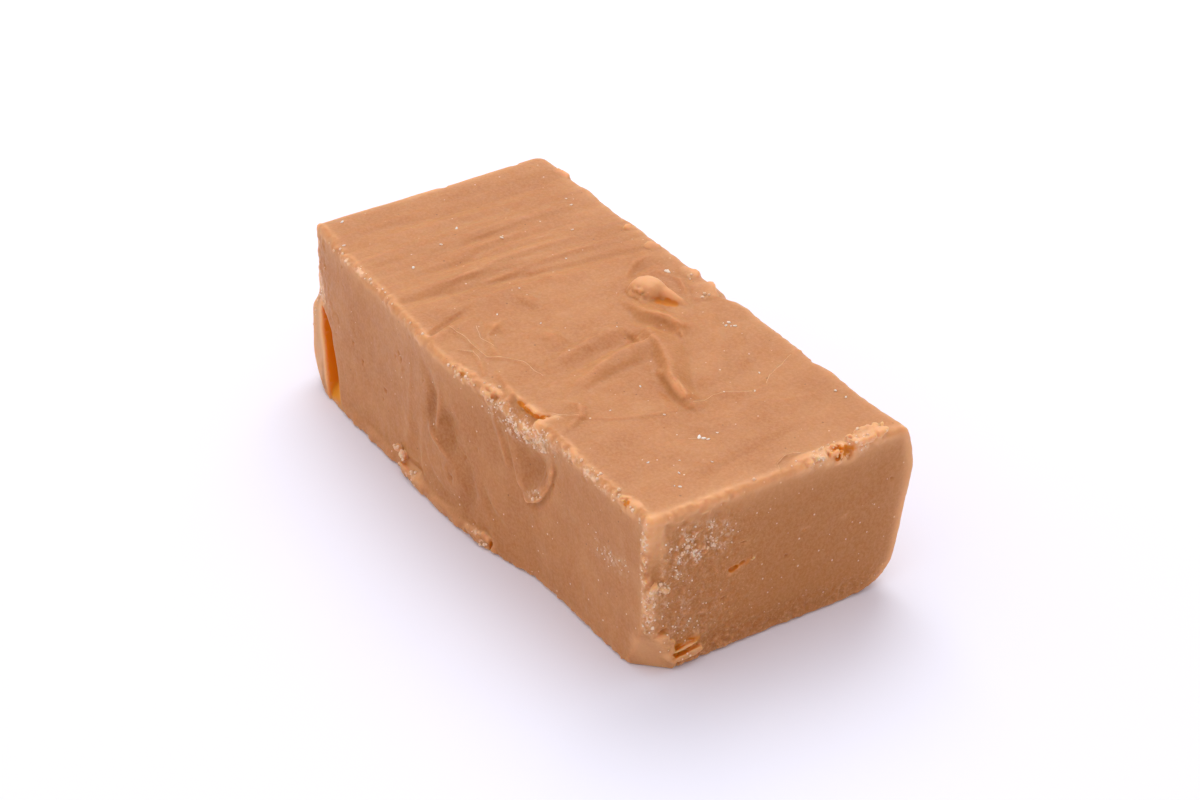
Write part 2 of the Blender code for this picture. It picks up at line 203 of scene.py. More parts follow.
# Folds, lumps and dips that the knife left on the cut side, in the same forms, over (x, z).
SIDE_RIDGES = (
    (((-9.0, 20.6, -0.1), (-6.4, 19.6, -0.45), (-5.3, 17.2, -0.7), (-5.5, 14.6, -0.8),
      (-6.8, 12.6, -0.4)), 1.2, 1.1),
    (((-3.4, 19.0, 0.1), (-3.2, 16.5, 0.35), (-3.6, 13.8, 0.3)), 0.8, 0.7),
    (((-6.4, 12.6, 0.3), (-3.8, 11.6, 0.7), (-1.2, 10.4, 0.5), (0.8, 9.6, 0.12)), 0.75, 1.1),
    (((-9.2, 11.5, -0.1), (-9.8, 7.6, -0.35), (-9.2, 3.6, -0.4)), 1.1, 1.4),
    (((1.2, 12.8, -0.1), (4.0, 10.0, -0.4), (4.9, 7.0, -0.5), (3.4, 4.4, -0.4),
      (0.4, 3.2, -0.2)), 1.3, 1.7),
    (((-7.6, 9.0, -0.06), (-6.8, 6.4, -0.24), (-4.4, 4.6, -0.28), (-1.0, 4.2, -0.1)), 0.6, 1.0),
    (((7.4, 9.4, -0.1), (8.6, 7.0, -0.35), (11.0, 5.6, -0.24), (12.4, 5.4, -0.06)), 0.7, 0.9),
    (((-12.8, 2.2, 0.3), (-9.8, 1.2, 0.35), (-7.6, 2.2, 0.15)), 0.7, 0.9),
    (((-4.6, 1.0, 0.2), (-0.6, 1.8, 0.35), (2.8, 3.0, 0.2)), 0.6, 1.0),
    (((4.2, 1.2, 0.3), (7.4, 1.9, 0.45), (9.6, 3.0, 0.3)), 0.6, 0.9),
    (((-12.6, 20.5, 0.05), (-12.0, 14.0, 0.14), (-12.4, 6.0, 0.12)), 0.6, 0.9),
    (((8.6, 21.5, 0.1), (10.6, 18.5, 0.3), (12.0, 15.6, 0.25)), 0.6, 0.6),
)
SIDE_LUMPS = (
    ((1.5, 7.6), (4.2, 3.0), 0.5, 0.5),
    ((-1.2, 15.3), (1.4, 1.7), -0.3, -0.7),
    ((-0.2, 12.9), (0.9, 1.3), 0.2, -0.45),
    ((0.2, 7.2), (0.5, 0.5), 0.0, -0.4),
    ((-1.2, 8.0), (0.9, 0.7), 0.4, 0.2),
    ((-14.5, 16.2), (0.7, 0.35), 0.8, -0.2),
    ((-24.0, 10.0), (6.0, 7.0), 0.0, -0.2),
    ((-30.0, 16.0), (4.0, 4.0), 0.3, 0.12),
    ((27.0, 12.0), (7.0, 5.0), 0.3, -0.18),
    ((34.0, 8.0), (4.0, 4.0), 0.0, 0.12),
)

# The block of cells: its corners, the size of a cell, how many slices are filled in at a
# time, and the farthest distance from the surface that it keeps.
BLOCK_LOW = (-46.4, -24.2, -1.1)
BLOCK_HIGH = (46.0, 23.6, 28.0)
CELL = 0.22
SLICES = 8
FAR = 2.5
BOX_MARGIN = 0.04
SLAB_FACES = 192000

# The worn edges: where wear is worst along the top edge of the cut side and up the near
# corner, how round it leaves them, and the share that turns two depths into one.
WORN_SIDE_RIM = (8.0, 21.0)
WORN_CORNER = (1.0, 14.0)
WORN_EDGE = 0.5
SLANT = 0.7071

# The middle of the bar's box in the frame that the forms are worked out in.
ORIGIN = (-0.22, -0.22, 0.0)


# --------------------------------------------------------------------------- forms


def ramp(value, start, end):
    """A smooth step, from 0 at start to 1 at end."""
    share = np.clip((value - start) / (end - start), 0.0, 1.0)
    return share * share * (3.0 - 2.0 * share)


def hump(value, middle, width):
    """A smooth hump of height 1."""
    return np.exp(-(((value - middle) / width) ** 2))


def mound(u, v, middle, radii, turn=0.0):
    """A soft round hump of height 1, or an oval one turned by an angle."""
    across, up = u - middle[0], v - middle[1]
    long_way = np.cos(turn) * across + np.sin(turn) * up
    short_way = np.cos(turn) * up - np.sin(turn) * across
    return np.exp(-((long_way / radii[0]) ** 2) - (short_way / radii[1]) ** 2)


def crest(u, v, path, left, right):
    """A ridge along a path of (u, v, height), with a width of its own on each side."""
    height = np.zeros(np.broadcast(u, v).shape)
    for (u0, v0, start), (u1, v1, end) in zip(path, path[1:]):
        run, rise = u1 - u0, v1 - v0
        share = ((u - u0) * run + (v - v0) * rise) / (run * run + rise * rise)
        share = np.clip(share, 0.0, 1.0)
        across, up = u - u0 - share * run, v - v0 - share * rise
        width = np.where(run * up - rise * across > 0.0, left, right)
        here = (start + (end - start) * share) * np.exp(-(across**2 + up**2) / width**2)
        height = np.where(np.abs(here) > np.abs(height), here, height)
    return height


def round_max(a, b, radius):
    """The intersection of two forms, with their shared edge rounded."""
    out_a, out_b = np.maximum(a + radius, 0.0), np.maximum(b + radius, 0.0)
    return np.minimum(np.maximum(a, b), -radius) + np.hypot(out_a, out_b)


def round_min(a, b, radius):
    """The union of two forms, with a fillet where they meet."""
    return -round_max(-a, -b, radius)


# --------------------------------------------------------------------------- noise


# Odd numbers and shifts that mix the bits of a place until it looks random.
SEED_FACTOR = 374761393
PLACE_FACTORS = (2367570755, 3624429633, 3407524639)
MIXING = ((15, 739982445), (12, 695872825))
LAST_SHIFT = 15
WORD = 2**32


def scatter(seed, *places):
    """A repeatable number from 0 to 1 for each whole-numbered place."""
    mixed = np.uint32(seed * SEED_FACTOR % WORD)
    with np.errstate(over="ignore"):
        for place, factor in zip(places, PLACE_FACTORS):
            mixed = mixed + place.astype(np.int64).astype(np.uint32) * np.uint32(factor)
        for shift, factor in MIXING:
            mixed = (mixed ^ (mixed >> np.uint32(shift))) * np.uint32(factor)
    return ((mixed ^ (mixed >> np.uint32(LAST_SHIFT))) / WORD).astype(np.float32)


def noise(seed, size, *places):
    """Smooth noise from -1 to 1 in any number of directions.

    The seed picks the pattern. Size is that of its lumps, one for all directions or one
    for each.
    """
    sizes = size if isinstance(size, tuple) else (size,) * len(places)
    scaled = [place / step for place, step in zip(places, sizes)]
    floors = [np.floor(value) for value in scaled]
    shares = [value - floor for value, floor in zip(scaled, floors)]
    shares = [share * share * (3.0 - 2.0 * share) for share in shares]
    total = 0.0
    for corner in range(2 ** len(places)):
        steps = [(corner >> axis) & 1 for axis in range(len(places))]
        weight = 1.0
        for step, share in zip(steps, shares):
            weight = weight * (share if step else 1.0 - share)
        total = total + weight * scatter(seed, *(f + s for f, s in zip(floors, steps)))
    return total * 2.0 - 1.0


LAYER_STEP = 2.03


def layered(seed, size, *places, layers=3, gain=0.5):
    """Noise with finer noise on it, each layer about half as large as the one before."""
    total, strength = 0.0, 1.0
    for layer in range(layers):
        total = total + strength * noise(seed + layer, size / LAYER_STEP**layer, *places)
        strength *= gain
    return total


# --------------------------------------------------------------------------- faces


def pan_wall(half, shoulder, z):
    """How far out the pan's wall stands at height z, from half the size at its widest."""
    below = np.maximum(PAN_WIDEST - z, 0.0)
    above = np.maximum(z - PAN_WIDEST, 0.0) / (HEIGHT - PAN_WIDEST)
    return half - PAN_LEAN * below - shoulder * above**2


def pan_skin(seed, u, z):
    """The skin that fudge gets against a pan: shallow ripples, and pits left by bubbles."""
    skin = 0.05 * layered(seed, 5.0, u, z) + 0.03 * noise(seed + 7, (1.4, 6.0), u, z)
    pits = noise(seed + 11, 1.1, u, z) * 0.6 + noise(seed + 12, 2.7, u, z) * 0.6
    return skin - 0.3 * ramp(pits, 0.62, 0.95)


def long_wall(x, z):
    """The long pan side, uneven along its top."""
    ledge = 0.1 * noise(33, 2.3, x) + 0.07 * noise(34, 0.9, x)
    for middle, width, out in LEDGE_BUMPS:
        ledge = ledge + out * hump(x, middle, width)
    wall = pan_wall(WIDTH / 2 + 1.9, LONG_SHOULDER, z)
    return wall + ledge * ramp(z, 12.0, 23.0) + 0.3 * ramp(x, 36.0, 44.0) + pan_skin(31, x, z)


def outer_wall(y, z):
    """The far end, which is the short pan side."""
    wall = pan_wall(LENGTH / 2 + 1.0, OUTER_SHOULDER, z) + 0.1 * np.maximum(PAN_WIDEST - z, 0.0)
    return wall + pan_skin(51, y, z)


def cut_side(x, z):
    """How far out the long cut side stands: it bellies near the middle and at its foot."""
    share = np.clip(z / HEIGHT, 0.0, 1.0)
    top = 19.3 + 1.9 * hump(x, -4.0, 13.0) - 1.2 * (1.0 - ramp(x, -44.0, -30.0))
    foot = 19.7 + 1.8 * (1.0 - ramp(x, 8.0, 20.0)) + 0.8 * hump(x, -4.0, 10.0)
    foot = foot - 1.4 * (1.0 - ramp(x, -44.0, -35.0))
    side = top * share + foot * (1.0 - share)
    for path, left, right in SIDE_RIDGES:
        side = side + crest(x, z, path, left, right)
    for middle, radii, turn, height in SIDE_LUMPS:
        side = side + height * mound(x, z, middle, radii, turn)
    side = side + foot_burr(x, z) + leaf(x, z)
    side = side + 0.06 * layered(71, 6.0, x, z) + 0.03 * noise(75, (1.1, 3.0), x + 0.35 * z, z)
    pits = noise(77, 0.9, x, z) + 0.5 * noise(78, 2.9, x, z)
    return side - 0.22 * ramp(pits, 1.02, 1.3)


def foot_burr(x, z):
    """The fudge that the knife dragged out along the foot of the cut side."""
    along = ramp(x, -36.0, -28.0) * (1.0 - ramp(x, 8.5, 11.0))
    torn = 0.6 + 0.4 * np.sin(0.9 * x) * np.sin(0.37 * x + 1.0)
    groove = hump(z, 2.6, 0.8) * (hump(x, -10.0, 4.0) + hump(x, 9.0, 1.8))
    return along * (0.6 * torn * (1.0 - ramp(z, 1.2, 2.6)) - 0.55 * groove)


def leaf(x, z):
    """A shaving that curled down the cut side: hollow at its top, proud at its tip."""
    low = 11.9 + 0.3 * (x - 16.9) ** 2 + 0.25 * noise(81, 1.1, x)
    up = (z - low) / np.sqrt(1.0 + 0.36 * (x - 16.9) ** 2)
    inside = ramp(up, -0.12, 0.12) * ramp(x, 10.6, 12.0) * (1.0 - ramp(x, 21.9, 22.2))
    soft = 1.0 - 0.7 * (1.0 - ramp(x, 12.5, 16.5))
    ragged = 0.48 + 0.25 * noise(84, 1.3, x, z)
    rim = ragged * soft * (1.0 - ramp(up, 0.2, 3.2)) - 0.4 * ramp(up, 1.2, 5.0) * ramp(x, 12.0, 15.0)
    rim = rim - 0.7 * mound(x, z, (19.0, 18.0), (2.2, 2.2)) + 0.4 * mound(x, z, (19.2, 13.2), (1.8, 0.9))
    shade = -0.3 * soft * hump(up, -0.4, 0.4) * ramp(x, 14.0, 17.5)
    crumbs = 0.4 * np.abs(noise(83, 0.7, x, z)) * mound(x, z, (18.8, 13.8), (2.0, 1.2))
    return (inside * (rim + crumbs) + shade) * (1.0 - 0.8 * ramp(z, 18.5, 21.0))


def cut_end(y, z):
    """The cut end, with the channel that the knife pressed by its near corner."""
    flat = LENGTH / 2 + 0.15 - 0.3 * (1.0 - np.clip(z / HEIGHT, 0.0, 1.0)) ** 2
    foot = 14.2 + 0.5 * noise(97, 1.3, y) + 0.4 * np.abs(y + 18.4)
    right = -17.2 + 0.09 * (z - 18.0) + 0.15 * noise(98, 1.6, z)
    pressed = (1.0 - ramp(y, right - 0.9, right + 0.5)) * ramp(z, foot - 0.5, foot + 1.7)
    across = 0.3 + 0.22 * np.maximum(-16.8 - y, 0.0)
    flat = flat - across * pressed * (1.0 - ramp(z, 19.5, 24.2))
    crust = mound(y, z, (-12.3, 18.0), (4.0, 3.4), -0.6) * ramp(y, -16.4, -16.0)
    clumps = layered(92, 0.9, y, z, layers=2, gain=0.8)
    flat = flat + 0.2 * ramp(crust, 0.25, 0.6) * ramp(clumps, -0.1, 0.7) + 0.1 * crust * clumps
    coarse = ramp(y, -20.0, -17.0) * (1.0 - ramp(y, -9.0, -3.0)) + 0.8 * (1.0 - ramp(z, 2.5, 5.0))
    flat = flat + 0.11 * (0.25 + coarse) * layered(99, 0.7, y, z, layers=2, gain=0.7)
    return flat + corner_flap(y, z) + 0.09 * layered(91, 4.0, y, z)


def corner_flap(y, z):
    """The thin layer smeared over the foot of the near corner, with its broken edge."""
    top = 6.2 + 0.35 * noise(101, 0.9, y) + 0.8 * (1.0 - ramp(y, -19.5, -18.0))
    side = -15.3 - 0.9 * ramp(z, 4.9, 5.3) + 0.2 * noise(102, 0.8, z)
    return 0.5 * (1.0 - ramp(z, top - 0.1, top + 0.1)) * (1.0 - ramp(y, side - 0.1, side + 0.1))


def top_height(x, y):
    """The top as the spatula left it: small waves across the bar, and swirls by the curl."""
    outer_part = 1.0 - ramp(x, -18.0, -11.0)
    waves = np.sin(1.75 * x + 0.05 * y) + 0.8 * np.sin(1.13 * x + 0.5 + 0.6 * np.sin(0.1 * y))
    top = HEIGHT + 0.025 * waves * outer_part
    inner = (1.0 - outer_part) * (1.0 - 0.5 * ramp(x, 20.0, 30.0))
    swirl = layered(21, 3.2, x + 0.6 * y, y - 0.3 * x, layers=2)
    top = top + 0.14 * inner * swirl + 0.18 * np.sin(0.21 * x + 0.4) * np.sin(0.16 * y + 1.1)
    for path, left, right in TOP_RIDGES:
        top = top + RIDGE_STRENGTH * crest(x, y, path, left, right)
    for middle, radii, turn, height in TOP_LUMPS:
        top = top + height * mound(x, y, middle, radii, turn)
    flakes = hump(y, 5.6, 2.4) + 1.0 * hump(y, 14.8, 2.3)
    top = top + 0.5 * flakes * ramp(x, 41.6, 43.0)
    return top + spatula_marks(x, y) * outer_part + 0.05 * layered(11, 5.0, x, y)


def spatula_marks(x, y):
    """Fine ribs that the spatula's edge left across the far part."""
    bent = x + 0.9 * np.sin(0.07 * y + 0.4) + 0.6 * noise(15, 11.0, x, y)
    ribs = 0.07 * noise(16, (0.8, 22.0), bent, y) + 0.17 * noise(17, (1.7, 30.0), bent, y)
    return ribs + 0.2 * noise(18, (3.4, 50.0), bent, y)


def facet(x, y, z):
    """The slanting facet at the foot of the near corner."""
    away = zip((x, y, z), FACET_POINT, FACET_NORMAL)
    return sum((value - point) * slope for value, point, slope in away)


def corner_break(x, y, z):
    """The broken outer corner. Below it the corner is whole, and makes the lip."""
    out = (x - BREAK_POINT[0]) * BREAK_NORMAL[0] + (y - BREAK_POINT[1]) * BREAK_NORMAL[1]
    return out - BREAK_DEPTH * (1.0 - ramp(z, BREAK_FOOT, BREAK_TOP))


# --------------------------------------------------------------------------- block


class Block:
    """The bar as a block of cells, each corner with its distance outside the surface."""

    def __init__(self, cell):
        self.cell = cell
        counts = [round((high - low) / cell) for low, high in zip(BLOCK_LOW, BLOCK_HIGH)]
        self.axes = [
            (low + cell * np.arange(count)).astype(np.float32)
            for low, count in zip(BLOCK_LOW, counts)
        ]
        self.value = np.empty(counts, np.float32)

    def fill(self):
        """Fills the block from the bar's faces, a few slices at a time."""
        x, y, z = self.axes
        walls = long_wall(x[:, None], z[None, :])
        sides = cut_side(x[:, None], z[None, :])
        tops = top_height(x[:, None], y[None, :])
        outer = outer_wall(y[:, None], z[None, :])
        end = cut_end(y[:, None], z[None, :])
        rims = rim_wear(x, WORN_SIDE_RIM, 301), rim_wear(z, WORN_CORNER, 321)
        for first in range(0, len(x), SLICES):
            part = slice(first, first + SLICES)
            u, v, w = x[part, None, None], y[None, :, None], z[None, None, :]
            pan = round_max(v - walls[part, None, :], -u - outer[None], PAN_UPRIGHT_CORNER)
            pan = round_max(pan / PAN_CORNER_SPREAD, -w, PAN_CORNER)
            cut = round_max(-v - sides[part, None, :], u - end[None], CUT_EDGE)
            form = round_max(pan, cut, CUT_EDGE)
            form = round_max(form, facet(u, v, w), BREAK_EDGE)
            form = round_max(form, corner_break(u, v, w), BREAK_EDGE)
            above = w - tops[part, :, None]
            form = round_max(form, above, TOP_EDGE)
            side_rim = (-v - sides[part, None, :] + above) * SLANT + rims[0][part, None, None]
            upright = (-v - sides[part, None, :] + u - end[None]) * SLANT + rims[1][None, None, :]
            for worn in (side_rim, upright):
                form = round_max(form, worn, WORN_EDGE)
            self.value[part] = np.clip(form, -FAR, FAR)

    def window(self, low, high):
        """The part of the block in a box, and the places of its corners."""
        cuts = []
        for axis, start, end in zip(self.axes, low, high):
            cuts.append(slice(*np.searchsorted(axis, (start, end))))
        x, y, z = (axis[cut] for axis, cut in zip(self.axes, cuts))
        return tuple(cuts), x[:, None, None], y[None, :, None], z[None, None, :]

    def add(self, low, high, form, fillet=0.0):
        """Adds a form inside a box, with a fillet where it meets the bar."""
        part, x, y, z = self.window(low, high)
        self.value[part] = round_min(self.value[part], form(x, y, z), fillet)

    def carve(self, low, high, form, edge=0.0):
        """Carves a form out inside a box, and rounds the edge that it leaves."""
        part, x, y, z = self.window(low, high)
        self.value[part] = round_max(self.value[part], -form(x, y, z), edge)

    def roughen(self, low, high, amount):
        """Moves the surface in or out by an amount that depends on the place."""
        part, x, y, z = self.window(low, high)
        self.value[part] += amount(x, y, z)

    def trim(self):
        """Cuts off what stands out of the solid bar's own box."""
        for axis, (places, low, high, middle) in enumerate(zip(self.axes, CAD_LOW, CAD_HIGH, ORIGIN)):
            below = low / MM + middle + BOX_MARGIN - places
            above = places - high / MM - middle + BOX_MARGIN
            out = np.maximum(below, above)
            shape = [1, 1, 1]
            shape[axis] = len(places)
            np.maximum(self.value, out.astype(np.float32).reshape(shape), out=self.value)

    def sample(self, places):
        """The distance outside the surface at any places, between the corners."""
        scaled = (places - [axis[0] for axis in self.axes]) / self.cell
        top = np.array(self.value.shape) - 2
        floor = np.clip(np.floor(scaled).astype(np.int64), 0, top)
        share = np.clip(scaled - floor, 0.0, 1.0)
        total = np.zeros(len(places))
        for corner in range(8):
            step = np.array([corner & 1, (corner >> 1) & 1, corner >> 2])
            weight = np.prod(np.where(step, share, 1.0 - share), axis=1)
            i, j, k = (floor + step).T
            total += weight * self.value[i, j, k]
        return total

    def surface(self):
        """Points and four-sided faces on the surface: a point for each cell it crosses."""
        inside = self.value < 0.0
        count = np.zeros(np.array(inside.shape) - 1, np.int8)
        for corner in range(8):
            i, j, k = corner & 1, (corner >> 1) & 1, corner >> 2
            ends = [size - 1 + step for size, step in zip(inside.shape, (i, j, k))]
            count += inside[i : ends[0], j : ends[1], k : ends[2]]
        cells = np.argwhere((count > 0) & (count < 8))
        numbers = np.full(count.shape, -1, np.int32)
        numbers[tuple(cells.T)] = np.arange(len(cells))
        points = np.zeros((len(cells), 3))
        crossed = np.zeros(len(cells))
        for axis in range(3):
            others = [other for other in range(3) if other != axis]
            for corner in range(4):
                start = np.zeros(3, np.int64)
                start[others[0]], start[others[1]] = corner & 1, corner >> 1
                end = start.copy()
                end[axis] = 1
                low = self.value[tuple((cells + start).T)].astype(float)
                high = self.value[tuple((cells + end).T)].astype(float)
                change = (low < 0.0) != (high < 0.0)
                share = np.where(change, low / np.where(change, low - high, 1.0), 0.0)
                place = cells + start + share[:, None] * (end - start)
                points += place * change[:, None]
                crossed += change
        points = points / crossed[:, None] * self.cell + [axis[0] for axis in self.axes]
        return points, self.faces(inside, numbers)

    def faces(self, inside, numbers):
        """A face across each line between two corners that the surface crosses."""
        faces = []
        for axis in range(3):
            first, second = (axis + 1) % 3, (axis + 2) % 3
            low, high = [slice(1, -1)] * 3, [slice(1, -1)] * 3
            low[axis], high[axis] = slice(None, -1), slice(1, None)
            crossing = inside[tuple(low)] != inside[tuple(high)]
            edges = np.argwhere(crossing)
            outward = inside[tuple(low)][tuple(edges.T)]
            edges[:, first] += 1
            edges[:, second] += 1
            around = []
            for back in ((1, 1), (0, 1), (0, 0), (1, 0)):
                place = edges.copy()
                place[:, first] -= back[0]
                place[:, second] -= back[1]
                around.append(numbers[tuple(place.T)])
            quads = np.stack(around, 1)
            faces.append(np.where(outward[:, None], quads, quads[:, ::-1]))
        return np.concatenate(faces)


def lump(middle, radii, turn=(0.0, 0.0, 0.0), squareness=2.0, rough=0.0, seed=0):
    """The form of a pebble: an oval, or a rounded block, turned by three angles."""
    turned = np.array(Euler(turn).to_matrix())

    def form(x, y, z):
        away = (x - middle[0], y - middle[1], z - middle[2])
        reach = 0.0
        for axis in range(3):
            along = sum(turned[row, axis] * away[row] for row in range(3))
            reach = reach + np.abs(along / radii[axis]) ** squareness
        distance = (reach ** (1.0 / squareness) - 1.0) * min(radii)
        if rough:
            distance = distance + rough * layered(seed, 0.7, x, y, z, layers=2)
        return distance

    return form


def strand(path, radius, end_radius=None, flat=1.0):
    """The form of a rounded rope along a path, flattened in height by a factor."""
    last = len(path) - 1
    end_radius = radius if end_radius is None else end_radius

    def form(x, y, z):
        nearest = None
        for number, (start, end) in enumerate(zip(path, path[1:])):
            run = [b - a for a, b in zip(start, end)]
            away = [value - a for value, a in zip((x, y, z), start)]
            share = sum(r * a for r, a in zip(run, away)) / sum(r * r for r in run)
            share = np.clip(share, 0.0, 1.0)
            off = [a - share * r for a, r in zip(away, run)]
            reach = np.sqrt(off[0] ** 2 + off[1] ** 2 + (off[2] * flat) ** 2)
            wide = radius + (end_radius - radius) * (number + share) / last
            here = reach - wide
            nearest = here if nearest is None else np.minimum(nearest, here)
        return nearest

    return form


def around(middle, reach):
    """The corners of a box about a place."""
    reach = np.broadcast_to(reach, 3)
    return [m - r for m, r in zip(middle, reach)], [m + r for m, r in zip(middle, reach)]


# --------------------------------------------------------------------------- modelling


def side_edge(x):
    """A place on the top edge of the cut side."""
    return np.array([x, -float(cut_side(np.float32(x), np.float32(23.8))), float(HEIGHT)])


def end_edge(y):
    """A place on the top edge of the cut end."""
    return np.array([float(cut_end(np.float32(y), np.float32(23.8))), y, float(HEIGHT)])


def corner_edge(z):
    """A place on the upright edge of the near corner."""
    out = float(cut_side(np.float32(43.8), np.float32(z)))
    return np.array([float(cut_end(np.float32(-19.5), np.float32(z))), -out, z])


def foot_edge(x):
    """A place along the foot of the cut side."""
    return np.array([x, -float(cut_side(np.float32(x), np.float32(0.4))), 0.3])


def wear_edge(block, random, place, start, end, spacing, size, depth, flake_share):
    """Chips an edge, and leaves small flakes along it."""
    along = start
    while along < end:
        along += spacing * random.uniform(0.4, 1.6)
        middle = place(along)
        big = size * random.uniform(0.5, 1.5)
        radii = big * random.uniform(0.5, 1.2, 3)
        turn = random.uniform(-1.5, 1.5, 3)
        off = random.normal(0.0, 0.35, 3) * size
        if random.random() < flake_share:
            radii[2] *= 0.45
            form = lump(middle + off * 0.8 - depth * 0.5, radii * 0.75, turn, 3.5)
            block.add(*around(middle + off, big * 1.8 + 0.6), form, 0.08)
        else:
            outward = (middle - [0.0, 0.0, 14.0]) * [0.0, 1.0, 1.0]
            form = lump(middle + off + depth * 0.4, radii, turn, 3.5, 0.12, int(along * 7) % 97)
            block.carve(*around(middle + off, big * 1.8 + 0.6), form, 0.06)


def split_walls(z):
    """The lip's inner face, and the edge of the cut side across the split from it."""
    return np.interp(z, SPLIT_HEIGHTS, LIP_INSIDE), np.interp(z, SPLIT_HEIGHTS, SPLIT_EDGE)


def model_split(block):
    """The split between the lip and the cut side."""

    def form(x, y, z):
        inside, edge = split_walls(z)
        gape = np.sqrt(np.clip((SPLIT_HIGH - z) / 1.6, 0.001, 1.0)) * (0.12 + 0.88 * ramp(z, 0.2, 3.4))
        deep = SPLIT_DEPTH * gape - cut_side(np.float32(-36.0), z)
        taper = np.clip((deep - y) / (SPLIT_DEPTH * gape), 0.0, 1.4)
        face = inside + 0.12 * noise(141, 2.2, y, z)
        width = 0.15 + (edge - inside) * taper + 0.12 * noise(142, 1.6, y, z)
        sides = np.maximum(face - x, x - face - width)
        return np.maximum(np.maximum(sides, (y - deep) * 0.7), z - SPLIT_HIGH)

    block.carve((-43.5, -24.2, -1.1), (-31.0, -15.5, 14.0), form, 0.2)


def oval(middle, radii):
    """How far off the middle of an oval a place is, squared, with 1 at its surface."""

    def away(x, y, z):
        return sum(((place - m) / r) ** 2 for place, m, r in zip((x, y, z), middle, radii))

    return away


def shape_all(change, rows, squareness, rough, edge, room, growth=1.0):
    """Adds or carves a group of lumps. The room is how far past each the block changes."""
    for middle, radii, turn, seed in rows:
        form = lump(middle, radii, turn, squareness, rough, seed)
        change(*around(middle, max(radii) * growth + room), form, edge)


# The curl's dome, tail, and the hollow below the tail.
DOME = (-2.5, 11.3, 24.4)
DOME_RADII = (2.7, 2.5, 1.9)
TAIL = ((-1.2, 12.3, 25.0), (0.4, 12.9, 24.85), (2.0, 13.4, 24.45), (3.8, 13.9, 23.7))
HOLLOW = (1.75, 11.8, 24.7)
HOLLOW_RADII = (1.9, 0.62, 0.42)

# The groups of lumps below: middle, radii, turn and seed of each.
DOME_FOOT_FLAKES = (
    ((-2.1, 8.95, 24.7), (0.9, 0.3, 0.3), (0.4, 0.1, 0.3), 167),
    ((-0.2, 9.5, 24.5), (0.7, 0.35, 0.3), (0.3, 0.2, 0.8), 168),
    ((-1.5, 9.45, 25.45), (0.5, 0.25, 0.16), (0.5, 0.2, 0.4), 169),
)
FAR_RIM_PLATES = (
    ((-38.0, 19.9, 24.2), (1.4, 0.6, 0.4), (0.2, 0.1, 0.3), 171),
    ((-18.9, 19.2, 24.3), (0.8, 0.6, 0.4), (0.1, 0.2, 0.7), 172),
    ((-12.4, 18.9, 24.3), (1.2, 0.8, 0.5), (0.2, 0.1, 0.5), 173),
    ((-3.7, 19.1, 24.1), (1.6, 1.2, 0.5), (0.1, 0.0, 0.4), 174),
    ((1.4, 17.9, 24.0), (2.5, 2.1, 0.6), (0.04, 0.0, -0.5), 175),
    ((21.2, 19.0, 24.1), (1.1, 0.7, 0.4), (0.2, 0.0, 0.7), 176),
)
FAR_RIM_CHIPS = (
    ((4.6, 20.4, 24.9), (1.3, 1.0, 1.0), (0.4, 0.2, 0.3), 177),
    ((-16.2, 20.8, 25.0), (1.0, 0.7, 0.8), (0.4, 0.2, 0.3), 178),
    ((-8.0, 21.0, 24.9), (1.6, 0.7, 0.7), (0.4, 0.2, 0.3), 179),
)
SIDE_RIM_GAPS = (
    ((16.0, -19.9, 21.9), (1.3, 0.35, 0.2), (0.3, -0.3, 0.1), 41),
    ((19.3, -19.8, 22.6), (1.1, 0.35, 0.22), (0.3, -0.4, 0.0), 64),
    ((1.5, -20.7, 24.3), (0.75, 0.45, 0.6), (0.3, 0.2, 0.3), 10),
    ((6.6, -20.1, 24.1), (0.9, 0.45, 0.4), (0.4, 0.3, 0.2), 46),
    ((8.6, -19.8, 23.9), (1.0, 0.45, 0.4), (0.4, -0.3, 0.2), 60),
    ((38.1, -18.9, 24.3), (0.35, 0.6, 0.5), (0.3, 0.3, 0.4), 53),
    ((38.8, -19.2, 24.0), (0.25, 0.35, 0.6), (0.1, 0.2, 0.9), 58),
    ((39.9, -19.2, 24.0), (0.16, 0.6, 0.5), (0.3, -0.2, 0.3), 66),
)
END_RIM_PLATES = (
    ((43.0, 14.6, 24.75), (1.5, 2.6, 0.45), (0.05, -0.1, 0.1), 181),
    ((43.4, 16.6, 24.95), (0.9, 0.9, 0.35), (0.1, -0.2, 0.4), 182),
    ((43.7, 6.4, 24.5), (0.9, 1.8, 0.4), (0.05, 0.1, 0.1), 180),
)
END_RIM_HOLES = (
    ((43.7, 10.2, 24.8), (1.1, 0.9, 1.0), (0.3, 0.4, 0.2), 183),
    ((44.4, 9.2, 23.7), (0.6, 0.7, 0.7), (0.3, 0.4, 0.2), 184),
    ((44.3, 11.1, 23.8), (0.7, 0.5, 0.9), (0.3, 0.4, 0.2), 187),
    ((43.0, 11.5, 25.0), (1.4, 0.4, 0.5), (0.3, 0.4, 0.2), 185),
    ((44.7, 13.4, 23.9), (0.4, 1.7, 0.22), (0.3, 0.4, 0.2), 186),
    ((44.4, 8.1, 24.2), (0.9, 0.3, 0.5), (0.3, 0.4, 0.2), 178),
    ((44.6, 5.6, 24.1), (0.4, 1.3, 0.16), (0.3, 0.4, 0.2), 179),
)
